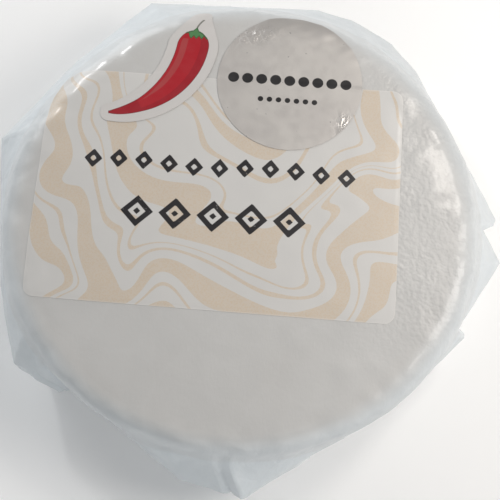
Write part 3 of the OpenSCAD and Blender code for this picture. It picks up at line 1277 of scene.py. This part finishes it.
@dataclass
class Wrapper:
    """The pleated paper around the cheese: one closed skin from the top to the underside.

    Attributes:
        top_rings: Rows of faces on the flat top; side_rings on the shoulder, the side and the
            lower edge; under_rings on the underside.
        top_end: How far before the flat top's end its rows end.
        side_past: How far past the lower edge the side's rows end.
        column_step: Usual angle between two columns, in degrees.
        fold_slope: Angle over which the paper drops from one layer to the next.
        edge_ramp: Height of a layer over which its edge grows pale.
        peel_x: Where along X the waxy skin's dimples grow, and peel_y the same along Y.
        peel_end: Where they end towards the rim, and the distance over which they fade.
        peel_least: Share of the dimples that is everywhere.
        sharp: Angle in degrees above which an edge stays sharp.
    """

    bench: Bench
    top_rings: int = 58
    side_rings: int = 92
    under_rings: int = 46
    top_end: float = 1.0
    side_past: float = 0.6
    column_step: float = 0.85
    fold_slope: float = 0.22
    edge_ramp: Ramp = Ramp(0.86, 0.14)
    peel_x: Ramp = Ramp(20.0, 16.0)
    peel_y: Ramp = Ramp(-34.0, 20.0)
    peel_end: tuple[float, float] = (62.0, 6.0)
    peel_least: float = 0.12
    sharp: float = 55.0
    name: str = "paper_wrapper"

    def rows(self) -> Array:
        """Places the rings of vertices, the two poles included.

        Returns:
            Distances from the middle of the top, along the surface.
        """
        w = self.bench.wheel
        first, last = w.flat - self.top_end, w.heel_end + self.side_past
        top = np.linspace(0.0, first, self.top_rings + 1)
        side = np.linspace(first, last, self.side_rings + 1)[1:]
        share = np.linspace(0.0, 1.0, self.under_rings + 1)[1:]
        return np.concatenate([top, side, last + (w.under - self.side_past) * share])

    def columns(self) -> Array:
        """Places the columns of vertices, with two close together at each fold.

        Returns:
            Directions from the axis, in degrees.
        """
        w = self.bench.wheel
        first = w.folds[0]
        folds = {round(a, 4) for a in w.folds} | {round(first + 360.0, 4)}
        feet = {round((pin[0] - first) % 360.0 + first, 4) for pin in w.pins}
        marks = sorted(folds | feet)
        angles = []
        for start, end in zip(marks, marks[1:]):
            count = max(2, round((end - start) / self.column_step))
            stop = end - self.fold_slope if end in folds else end
            angles.append(np.linspace(start, stop, count, endpoint=end in folds))
        return np.concatenate(angles)

    def cells(self, ball: Array, rings: int, columns: int) -> tuple[Array, Array]:
        """Finds the ring and the column of each vertex of a globe.

        Args:
            ball: The globe's vertices.
            rings: Number of its rows of faces.
            columns: Number of its columns.

        Returns:
            The number of the ring, from the top pole, and of the column, 0 at both poles.
        """
        ring = np.rint(np.arccos(np.clip(ball[:, 2], -1, 1)) / np.pi * rings).astype(int)
        pole = (ring == 0) | (ring == rings)
        around = np.arctan2(ball[:, 1], ball[:, 0]) % (2 * np.pi)
        step = 2 * np.pi / columns
        column = np.rint((around - around[~pole].min()) / step)
        return ring, np.where(pole, 0, column).astype(int) % columns

    def build(self, material: bpy.types.Material) -> bpy.types.Object:
        """Models the wrapper and dresses it.

        Args:
            material: The waxed paper.

        Returns:
            The finished piece.
        """
        w, rows, columns = self.bench.wheel, self.rows(), self.columns()
        rings = len(rows) - 1
        piece = self.bench.globe(self.name, len(columns), rings)
        ring, column = self.cells(self.bench.places(piece), rings, len(columns))
        s, angle = rows[ring], columns[column]
        points = w.surface(s, angle)
        self.bench.place(piece, points)
        # The stand-off includes the rim's painted light.
        self.bench.mark(piece, "stand_off", w.stand_off(s, angle))
        edge = self.edge_ramp.at(w.layer(angle)) * w.fold_ramp.at(s - w.crest)
        self.bench.mark(piece, "fold_edge", edge)
        end, fade = self.peel_end
        peel = self.peel_x.at(points[:, 0]) * self.peel_y.at(points[:, 1])
        peel = peel * smooth((end - s) / fade)
        self.bench.mark(piece, "peel", self.peel_least + (1.0 - self.peel_least) * peel)
        self.bench.finish(piece, "wrapped_cheese", Slot.PAPER.value, material, self.sharp)
        return piece


# ---- Stickers ----

class Motif(Enum):
    """Plain ornaments that are printed in a row."""

    LOZENGE = "lozenge"
    DISC = "disc"


@dataclass(frozen=True)
class Ornaments:
    """A row of equal ornaments.

    Attributes:
        motif: What is repeated, and count how often.
        middle: The row's middle from the sticker's own, along U and V.
        pitch: Distance between two ornaments.
        half_w: Half the width of one, and half_h half its height.
        stroke: Width of a lozenge's outline.
        inset: Where the lozenge inside the outline begins, in strokes from the edge.
        wave: How far the row waves up and down, and wave_turn the turn of the wave between two.
    """

    motif: Motif
    count: int
    middle: tuple[float, float]
    pitch: float
    half_w: float
    half_h: float
    stroke: float = 0.0
    wave: float = 0.0
    wave_turn: float = 1.1
    inset: float = 1.7

    def inside(self, u: Array, v: Array) -> Array:
        """Distance inside the nearest ornament's edge.

        Args:
            u: Places across the sticker, from its middle.
            v: Places up it.

        Returns:
            Distances, below 0 outside.
        """
        best = np.full_like(u, -np.inf)
        for k in range(self.count):
            x = self.middle[0] + (k - (self.count - 1) / 2) * self.pitch
            y = self.middle[1] + self.wave * math.sin(self.wave_turn * k)
            best = np.maximum(best, self._one(u - x, v - y))
        return best

    def _one(self, u: Array, v: Array) -> Array:
        """Distance inside one ornament's edge.

        Args:
            u: Places across, from the ornament's own middle.
            v: Places up.

        Returns:
            Distances, below 0 outside.
        """
        if self.motif is Motif.DISC:
            return self.half_w - np.hypot(u, v)
        depth = self.half_w * self.half_h / math.hypot(self.half_w, self.half_h)
        whole = (1 - np.abs(u) / self.half_w - np.abs(v) / self.half_h) * depth
        outline = self.stroke / 2 - np.abs(whole - self.stroke / 2)
        return np.maximum(outline, whole - self.inset * self.stroke)


@dataclass
class Marbling:
    """Combed marbling: rings of colour that have been swirled and dragged.

    Attributes:
        swirls: Middle, reach and turn of each swirl.
        combs: Middle, heading, reach and pull of each stroke.
        waves_u: Fine waves along U: size, length of a radian along V, start, and slant.
        waves_v: The same along V.
        heart: Middle of the rings.
        stretch: How much wider the rings are along Y.
    """

    swirls: tuple[tuple[float, float, float, float], ...] = (
        (-18, -20, 11, -1.2), (26, -18, 11, -1.5), (6, -2, 12, 0.8),
        (-14, 21, 8, -1.1), (37, 6, 8, 0.9), (-38, 2, 8, 1.0))
    combs: tuple[tuple[float, float, float, float, float], ...] = (
        (6, -10, 24, 4.5, 11), (-30, 0, 85, 5, -6), (30, 0, 75, 6, 6))
    waves_u: tuple[tuple[float, float, float, float], ...] = (
        (1.6, 4.2, 0.6, 0.0), (0.8, 2.3, 0.0, 1 / 9))
    waves_v: tuple[tuple[float, float, float, float], ...] = (
        (1.1, 6.1, 0.0, 0.0), (0.6, 3.1, 0.0, 1 / 7))
    heart: tuple[float, float] = (4.0, 27.0)
    stretch: float = 1.12

    def rings(self, u: Array, v: Array) -> Array:
        """Lays the rings and drags them.

        Args:
            u: Places along the label, from its middle.
            v: Places across it.

        Returns:
            Distance from the heart of the rings, in millimetres.
        """
        for x, y, reach, turn in self.swirls:
            a = turn * np.exp(-((u - x) ** 2 + (v - y) ** 2) / reach ** 2)
            du, dv = u - x, v - y
            u, v = x + du * np.cos(a) - dv * np.sin(a), y + du * np.sin(a) + dv * np.cos(a)
        for x, y, heading, reach, pull in self.combs:
            way = np.array([math.cos(math.radians(heading)), math.sin(math.radians(heading))])
            across = -(u - x) * way[1] + (v - y) * way[0]
            drag = pull * np.exp(-(across / reach) ** 2)
            u, v = u + drag * way[0], v + drag * way[1]
        u = u + sum(a * np.sin(v / w + t + u * k) for a, w, t, k in self.waves_u)
        v = v + sum(a * np.sin(u / w + t + v * k) for a, w, t, k in self.waves_v)
        return np.hypot(u - self.heart[0], (v - self.heart[1]) / self.stretch)


@dataclass
class MainLabel:
    """The marbled label across the top, with two rows of plain ornaments.

    Attributes:
        x: The middle's place from the axis, and y the same along Y.
        lift: Height of the label's face above the paper.
        rim_low: How much lower the face lies at the rim, and rim_width over what width.
        crowd: How much closer the columns stand at both ends, from 0 to 1.
    """

    bench: Bench
    length: float = 82.5
    width: float = 55.0
    corner: float = 2.5
    x: float = -5.5
    y: float = 6.3
    thickness: float = 0.10
    lift: float = 0.13
    rim_low: float = 0.05
    rim_width: float = 1.2
    crowd: float = 0.4
    columns: int = 240
    rows: int = 160
    marbling: Marbling = field(default_factory=Marbling)
    prints: tuple[Ornaments, ...] = (
        Ornaments(Motif.LOZENGE, 11, (0.0, 5.6), 5.8, 2.1, 2.3, 1.0, 0.45),
        Ornaments(Motif.LOZENGE, 5, (-0.5, -6.2), 8.6, 3.7, 3.7, 1.2, 0.0),
    )
    name: str = "main_label_paper"

    def inside(self, flat: Array) -> Array:
        """Distance inside the label's outline.

        Args:
            flat: Rows of X and Y around the axis.

        Returns:
            Distances, below 0 outside.
        """
        u = np.abs(flat[:, 0] - self.x) - (self.length / 2 - self.corner)
        v = np.abs(flat[:, 1] - self.y) - (self.width / 2 - self.corner)
        past = np.hypot(np.maximum(u, 0), np.maximum(v, 0))
        return self.corner - past - np.minimum(np.maximum(u, v), 0)

    def build(self, material: bpy.types.Material) -> bpy.types.Object:
        """Models the label and dresses it.

        Args:
            material: The label paper.

        Returns:
            The finished piece.
        """
        piece = self.bench.leaf(self.name, self.columns, self.rows)
        grid = self.bench.places(piece)[:, :2]
        even, crowded = grid[:, 0], np.sin(np.pi / 2 * grid[:, 0])
        u = self.length / 2 * ((1 - self.crowd) * even + self.crowd * crowded)
        past = np.maximum(np.abs(u) - (self.length / 2 - self.corner), 0)
        half = self.width / 2 - self.corner + np.sqrt(np.maximum(self.corner ** 2 - past ** 2, 0))
        v = half * grid[:, 1]
        flat = np.stack([u + self.x, v + self.y], axis=-1)
        rim = self.inside(flat)
        lift = self.lift - self.rim_low * smooth(1 - rim / self.rim_width)
        self.bench.place(piece, self.bench.wheel.drape(flat, lift))
        self.bench.mark(piece, "marble", self.marbling.rings(u, v))
        self.bench.mark(piece, "ink", np.maximum.reduce([p.inside(u, v) for p in self.prints]))
        self.bench.mark(piece, "rim", rim)
        self.bench.thicken(piece, self.thickness)
        self.bench.finish(piece, "main_label", Slot.LABEL.value, material)
        return piece


@dataclass
class RoundSeal:
    """The round seal of creased silver film, with two rows of dots.

    Attributes:
        x: The middle's place from the axis, and y the same along Y.
        steps: Faces of its grid both ways.
        creases: Middle, reach and slant of each creased patch, whose crease lines also get a
            painted highlight.
        shade: Share of the painted shade at its outer edge, and painted_shade_ramp where it grows
            along V.
    """

    bench: Bench
    label: MainLabel
    diameter: float = 34.0
    x: float = 9.0
    y: float = 34.2
    thickness: float = 0.10
    steps: int = 150
    creases: tuple[tuple[tuple[float, float], tuple[float, float], float], ...] = (
        ((-9.0, 11.4), (5.5, 2.4), 0.25), ((13.2, -9.8), (2.2, 2.8), 0.0))
    shade: float = 0.6
    painted_shade_ramp: Ramp = Ramp(10.0, 6.5)
    prints: tuple[Ornaments, ...] = (
        Ornaments(Motif.DISC, 9, (0.0, 0.3), 3.3, 1.3, 1.3),
        Ornaments(Motif.DISC, 7, (-0.2, -4.75), 2.1, 0.65, 0.65),
    )
    name: str = "round_seal_film"

    def build(self, material: bpy.types.Material) -> bpy.types.Object:
        """Models the seal and dresses it.

        Args:
            material: The silver film.

        Returns:
            The finished piece.
        """
        piece = self.bench.leaf(self.name, self.steps, self.steps)
        grid = self.bench.places(piece)[:, :2]
        u = self.diameter / 2 * grid[:, 0] * np.sqrt(1 - grid[:, 1] ** 2 / 2)
        v = self.diameter / 2 * grid[:, 1] * np.sqrt(1 - grid[:, 0] ** 2 / 2)
        flat = np.stack([u + self.x, v + self.y], axis=-1)
        lift = over_label(self.label, flat, self.thickness)
        self.bench.place(piece, self.bench.wheel.drape(flat, lift))
        self.bench.mark(piece, "ink", np.maximum.reduce([p.inside(u, v) for p in self.prints]))
        # Creased patches: real creasing for the bump and roughness, and a painted highlight on
        # their crease lines.
        creased = sum(spot(u, v - slant * (u - middle[0]), middle, reach)
                      for middle, reach, slant in self.creases)
        self.bench.mark(piece, "creased", creased)
        # Painted shade, growing towards the seal's outer edge.
        self.bench.mark(piece, "shaded", self.shade * self.painted_shade_ramp.at(v))
        self.bench.thicken(piece, self.thickness)
        self.bench.finish(piece, "round_seal", Slot.FILM.value, material)
        return piece


def over_label(label: MainLabel, flat: Array, thickness: float, rest: float = 0.04) -> Array:
    """Lays an upper sticker over the label, with a soft step at the label's edge.

    Args:
        label: The label below.
        flat: Rows of X and Y around the axis.
        thickness: The upper sticker's thickness.
        rest: Gap between the two.

    Returns:
        Height of the upper sticker's face above the paper.
    """
    on_label = Ramp(-0.9, 1.1).at(label.inside(flat))
    return label.lift + thickness + rest - label.thickness * (1 - on_label)


@dataclass(frozen=True)
class ChilliPicture:
    """The printed chilli, drawn along the sticker's middle line.

    Every part is a distance inside its own edge. Places are measured along the line from the
    fruit's tip or its end, and across it to the left.

    Attributes:
        tip_past: How far the fruit reaches past the tip.
        tip_wide: What half its width gains there, and tip_fade where that has faded out.
        end_round: Where the fruit begins to round off before its end, and the square of the
            distance over which it would close.
        front: Front edge of the cap at the line, its slope and its bow.
        peak: Height of the cap's point at the stem, and half its width.
        cap_half: Half the width of the cap.
        back: Back edge of the cap, at the line.
        teeth: Height, pitch and place of the cap's teeth.
        notch: How much shorter the cap is on its left, and where that grows.
        stem_foot: Where the stem begins, and stem_length how far it runs.
        stem_half: Half the stem's width, and its growth along the stem.
        stem_curl: Size of the stem's bend, and the power of the distance by which it bends.
        shine: Half the width of the shine and its middle, as shares of the fruit's half width.
        shine_ramp: Share of the fruit's length over which the shine widens.
        shine_end: How far before the fruit's end the shine ends.
        shade: Where the shade begins below the line, as a share of the fruit's half width.
        tip_shade: Share of the length that is shaded at the tip, and how sharply that ends.
    """

    tip_past: float = 0.3
    tip_wide: float = 0.35
    tip_fade: float = 8.0
    end_round: tuple[float, float] = (2.0, 24.0)
    front: tuple[float, float, float] = (1.3, 0.1, -0.17)
    peak: tuple[float, float] = (0.85, 0.7)
    cap_half: float = 3.3
    back: float = -1.0
    teeth: tuple[float, float, float] = (0.8, 1.25, 0.8)
    notch: float = 1.3
    notch_ramp: Ramp = Ramp(1.1, 0.8)
    stem_foot: float = 1.9
    stem_length: float = 2.5
    stem_half: tuple[float, float] = (0.2, 0.03)
    stem_curl: tuple[float, float] = (0.22, 1.6)
    shine: tuple[float, float] = (0.2, 0.58)
    shine_ramp: Ramp = Ramp(0.2, 0.3)
    shine_end: float = 1.0
    shade: float = 0.45
    tip_shade: tuple[float, float] = (0.24, 5.0)

    def half(self, fruit_half: Array, s: Array, beyond: Array) -> Array:
        """Half the width of the printed fruit.

        Args:
            fruit_half: Half the width of the fruit that the sticker is cut around.
            s: Distance from the tip.
            beyond: Distance past the fruit's end.

        Returns:
            Half widths.
        """
        start, reach = self.end_round
        wide = fruit_half + self.tip_wide * (1 - smooth(s / self.tip_fade))
        past = np.maximum(beyond, -start) + start
        return wide * np.sqrt(np.maximum(1 - past ** 2 / reach, 0))

    def edge(self, across: Array) -> Array:
        """Where the cap's front edge lies."""
        return self.front[0] + self.front[2] * across ** 2 + self.front[1] * across

    def fruit(self, half: Array, s: Array, across: Array, beyond: Array) -> Array:
        """The fruit, up to the cap's front edge."""
        return np.minimum.reduce([half - np.abs(across), s + self.tip_past,
                                  self.edge(across) - beyond])

    def shining(self, half: Array, share: Array, across: Array, beyond: Array) -> Array:
        """The stripe of shine along the fruit's left."""
        wide = self.shine[0] * half * self.shine_ramp.at(share)
        return np.minimum(wide - np.abs(across - self.shine[1] * half), -self.shine_end - beyond)

    def shaded(self, half: Array, share: Array, across: Array) -> Array:
        """The darker underside and tip of the fruit."""
        low = -self.shade * half - across
        return np.maximum(low, self.tip_shade[1] * (self.tip_shade[0] - share))

    def cap(self, across: Array, beyond: Array) -> Array:
        """The toothed cap, with a point at the stem.

        Args:
            across: Distance to the left of the line.
            beyond: Distance past the fruit's end.

        Returns:
            Distances inside its edge.
        """
        height, pitch, place = self.teeth
        count = (across - place) / pitch
        teeth = 2 * height * np.abs(count - np.round(count))
        back = self.back + teeth + self.notch * self.notch_ramp.at(across)
        peak = self.peak[0] * np.maximum(1 - np.abs(across) / self.peak[1], 0)
        front = self.edge(across) + peak
        return np.minimum.reduce([beyond - back, front - beyond, self.cap_half - np.abs(across)])

    def stem(self, across: Array, beyond: Array) -> Array:
        """The thin curled stem.

        Args:
            across: Distance to the left of the line.
            beyond: Distance past the fruit's end.

        Returns:
            Distances inside its edge.
        """
        up = beyond - self.stem_foot
        half = self.stem_half[0] + self.stem_half[1] * up
        curl = self.stem_curl[0] * np.maximum(up, 0) ** self.stem_curl[1]
        return np.minimum.reduce([half - np.abs(across + curl), up, self.stem_length - up])


@dataclass
class ChilliSticker:
    """The die-cut sticker with a red chilli: its picture follows a bent middle line.

    Attributes:
        x: Where the fruit's tip lies from the axis, and y the same along Y.
        bend: Radius of the middle line.
        tip_heading: Direction in which the line leaves the tip, in degrees.
        bend_turn: Turn of the line along the fruit, in degrees.
        half_w: Half the width of the fruit where it is widest.
        swell_share: Share of the fruit's length over which it widens.
        swell_power: How late it widens.
        stem: Length of the sticker past the fruit.
        stem_lean: Turn of the stem away from the line, in degrees.
        border: Width of the pale border.
        least: Half the width at the sticker's very ends.
        picture: What is printed on it.
    """

    bench: Bench
    label: MainLabel
    x: float = -32.2
    y: float = 23.4
    bend: float = 20.7
    tip_heading: float = 8.0
    bend_turn: float = 84.0
    half_w: float = 3.8
    swell_share: float = 0.9
    swell_power: float = 0.9
    stem: float = 5.0
    stem_lean: float = 15.0
    border: float = 2.2
    least: float = 0.08
    thickness: float = 0.10
    columns: int = 190
    rows: int = 64
    picture: ChilliPicture = ChilliPicture()
    name: str = "chilli_sticker_paper"

    def __post_init__(self) -> None:
        """Works out the fruit's length along its middle line."""
        self.length = self.bend * math.radians(self.bend_turn)

    def heading(self, s: Array) -> Array:
        """Direction of the middle line at a distance s from the tip, in degrees."""
        return self.tip_heading + self.bend_turn * np.clip(s / self.length, 0, 1)

    def spine(self, s: Array) -> Array:
        """Points of the middle line: straight, then an arc, then leaning along the stem.

        Args:
            s: Distance from the tip.

        Returns:
            Rows of X and Y around the axis.
        """
        h, tip = np.radians(self.heading(s)), math.radians(self.tip_heading)
        over = np.where(s < 0, s, np.maximum(s - self.length, 0))
        leaning = np.where(s > self.length, h - math.radians(self.stem_lean), h)
        x = self.x + self.bend * (np.sin(h) - math.sin(tip)) + over * np.cos(leaning)
        y = self.y + self.bend * (math.cos(tip) - np.cos(h)) + over * np.sin(leaning)
        return np.stack([x, y], axis=-1)

    def fruit_half(self, s: Array) -> Array:
        """Half the width that the sticker is cut around, fading out along the stem.

        Args:
            s: Distance from the tip.

        Returns:
            Half widths.
        """
        swell = np.clip(s / (self.length * self.swell_share), 0, 1)
        fade = self.length * (1 - self.swell_share) + self.stem + self.border
        left = 1 - smooth((s - self.length * self.swell_share) / fade)
        return self.half_w * np.sin(np.pi / 2 * swell) ** self.swell_power * left

    def build(self, material: bpy.types.Material) -> bpy.types.Object:
        """Models the sticker and dresses it.

        Args:
            material: The sticker paper.

        Returns:
            The finished piece.
        """
        piece = self.bench.leaf(self.name, self.columns, self.rows)
        grid = self.bench.places(piece)[:, :2]
        total = self.length + self.stem + 2 * self.border
        s = -self.border + total * (1 - np.cos(np.pi * (grid[:, 0] + 1) / 2)) / 2
        end = self.length + self.stem
        past = np.maximum.reduce([-s, s - end, np.zeros_like(s)])
        half = self.border + self.fruit_half(np.minimum(s, end))
        ends = np.sqrt(np.maximum(1 - (past / self.border) ** 2, 0))
        half = np.maximum(half * ends, self.least)
        across = half * grid[:, 1]
        turn = np.radians(self.heading(s) + 90)
        flat = self.spine(s) + across[:, None] * np.stack([np.cos(turn), np.sin(turn)], axis=-1)
        lift = over_label(self.label, flat, self.thickness)
        self.bench.place(piece, self.bench.wheel.drape(flat, lift))
        self._print(piece, s, across)
        self.bench.thicken(piece, self.thickness)
        self.bench.finish(piece, "chilli_sticker", Slot.STICKER.value, material)
        return piece

    def _print(self, piece: bpy.types.Object, s: Array, across: Array) -> None:
        """Writes the picture's parts to the mesh as distances inside their edges.

        Args:
            piece: The sticker.
            s: Distance of each point along the middle line.
            across: Its distance to the left of that line.
        """
        picture, share, beyond = self.picture, s / self.length, s - self.length
        half = picture.half(self.fruit_half(s), s, beyond)
        parts = {"fruit": picture.fruit(half, s, across, beyond),
                 "shine": picture.shining(half, share, across, beyond),
                 "shade": picture.shaded(half, share, across),
                 "cap": picture.cap(across, beyond),
                 "stem": picture.stem(across, beyond)}
        for name, inside in parts.items():
            self.bench.mark(piece, name, inside)


# ---- The studio ----

@dataclass(frozen=True)
class Lamp:
    """A soft square light that faces the object's middle."""

    name: str
    place: tuple[float, float, float]
    size: float
    power: float
    colour: Colour = (1.0, 1.0, 1.0)


@dataclass
class Studio:
    """A plain pale floor, soft lights and the camera.

    Attributes:
        axis: The wheel's axis, in millimetres.
        eye: The camera's place from the axis, in millimetres.
        look: The point that it faces.
        lens: Its focal length on a sensor of the given width, both in millimetres.
        near: Nearest distance that it sees, in metres.
        floor_patches: The floor's darker patches, and floor_drift how much darker they are.
        sky: Colour of the light from all round, and world its strength.
    """

    axis: Array
    eye: tuple[float, float, float] = (6.33, -49.55, 203.59)
    look: tuple[float, float, float] = (2.64, -3.12, 15.44)
    lens: float = 57.6
    sensor: float = 36.0
    near: float = 0.01
    floor_size: float = 1.6
    floor_tone: Colour = (0.93, 0.93, 0.93)
    floor_patches: Cloud = Cloud(60.0, (0.2, 0.8))
    floor_drift: float = 0.015
    floor_rough: float = 0.8
    sky: Colour = (0.97, 0.985, 1.0)
    world: float = 0.23
    lamps: tuple[Lamp, ...] = (
        Lamp("key_light", (0.12, 0.11, 0.235), 0.056, 0.17, (1.0, 0.95, 0.89)),
        Lamp("right_light", (0.20, 0.00, 0.20), 0.12, 0.33, (1.0, 0.95, 0.90)),
        Lamp("front_light", (0.16, -0.38, 0.22), 0.40, 0.61, (0.97, 0.99, 1.0)),
        Lamp("left_light", (-0.38, -0.10, 0.12), 0.30, 0.24, (0.97, 0.99, 1.0)),
        Lamp("back_light", (-0.28, 0.36, 0.12), 0.30, 0.95, (0.97, 0.99, 1.0)),
        Lamp("rim_light", (-0.20, 0.24, 0.22), 0.03, 0.20, (1.0, 1.0, 1.0)),
    )

    def build(self) -> None:
        """Makes the floor, the lights and the camera."""
        self._floor()
        self._lights()
        self._camera()

    def _floor(self) -> None:
        """Lays the floor and marks it as stage."""
        Bench.clear()
        bpy.ops.mesh.primitive_plane_add(size=self.floor_size)
        floor = bpy.context.object
        floor.name = "studio_floor"
        material = bpy.data.materials.new("floor_paint")
        material.use_nodes = True
        n = Nodes(material.node_tree)
        shader = material.node_tree.nodes["Principled BSDF"]
        shader.inputs["Roughness"].default_value = self.floor_rough
        darker = tuple((1.0 - self.floor_drift) * c for c in self.floor_tone)
        colour = n.blend(n.cloud(n.place(), self.floor_patches), self.floor_tone, darker)
        material.node_tree.links.new(colour, shader.inputs["Base Color"])
        floor.data.materials.append(material)

    def _lights(self) -> None:
        """Hangs the lights and sets the soft light from all round."""
        world = bpy.data.worlds.new("studio_world")
        bpy.context.scene.world = world
        world.use_nodes = True
        back = world.node_tree.nodes["Background"]
        back.inputs["Color"].default_value = Nodes.paint(self.sky)
        back.inputs["Strength"].default_value = self.world
        for lamp in self.lamps:
            data = bpy.data.lights.new(lamp.name, "AREA")
            data.shape, data.size = "SQUARE", lamp.size
            data.energy, data.color = lamp.power, lamp.colour
            light = bpy.data.objects.new(lamp.name, data)
            bpy.context.scene.collection.objects.link(light)
            light.location = lamp.place
            light.rotation_euler = (-Vector(lamp.place)).to_track_quat("-Z", "Y").to_euler()

    def _camera(self) -> None:
        """Sets the camera at the viewing angle."""
        data = bpy.data.cameras.new("camera")
        data.lens, data.sensor_width = self.lens, self.sensor
        camera = bpy.data.objects.new("camera", data)
        bpy.context.scene.collection.objects.link(camera)
        eye = Vector((np.array(self.eye) + self.axis) * MM)
        look = Vector((np.array(self.look) + self.axis) * MM)
        camera.location = eye
        camera.rotation_euler = (look - eye).to_track_quat("-Z", "Y").to_euler()
        data.clip_start = self.near
        bpy.context.scene.camera = camera
        bpy.context.scene.view_settings.view_transform = "Standard"


def main() -> None:
    """Builds every piece in order and reports it."""
    logging.basicConfig(level=logging.INFO, format="%(name)s %(message)s")
    axis = wheel_axis(MainLabel.y, MainLabel.width, RoundSeal.x)
    bench = Bench(Wheel(), axis)
    Studio(axis).build()
    grain, crumple = Grain(), Crumple()
    Wrapper(bench).build(WaxedPaper().build(grain, crumple))
    label = MainLabel(bench)
    label.build(LabelPaper().build(grain))
    RoundSeal(bench, label).build(SilverFilm().build(grain, crumple))
    ChilliSticker(bench, label).build(ChilliPrint().build(grain))


if __name__ == "__main__":
    main()
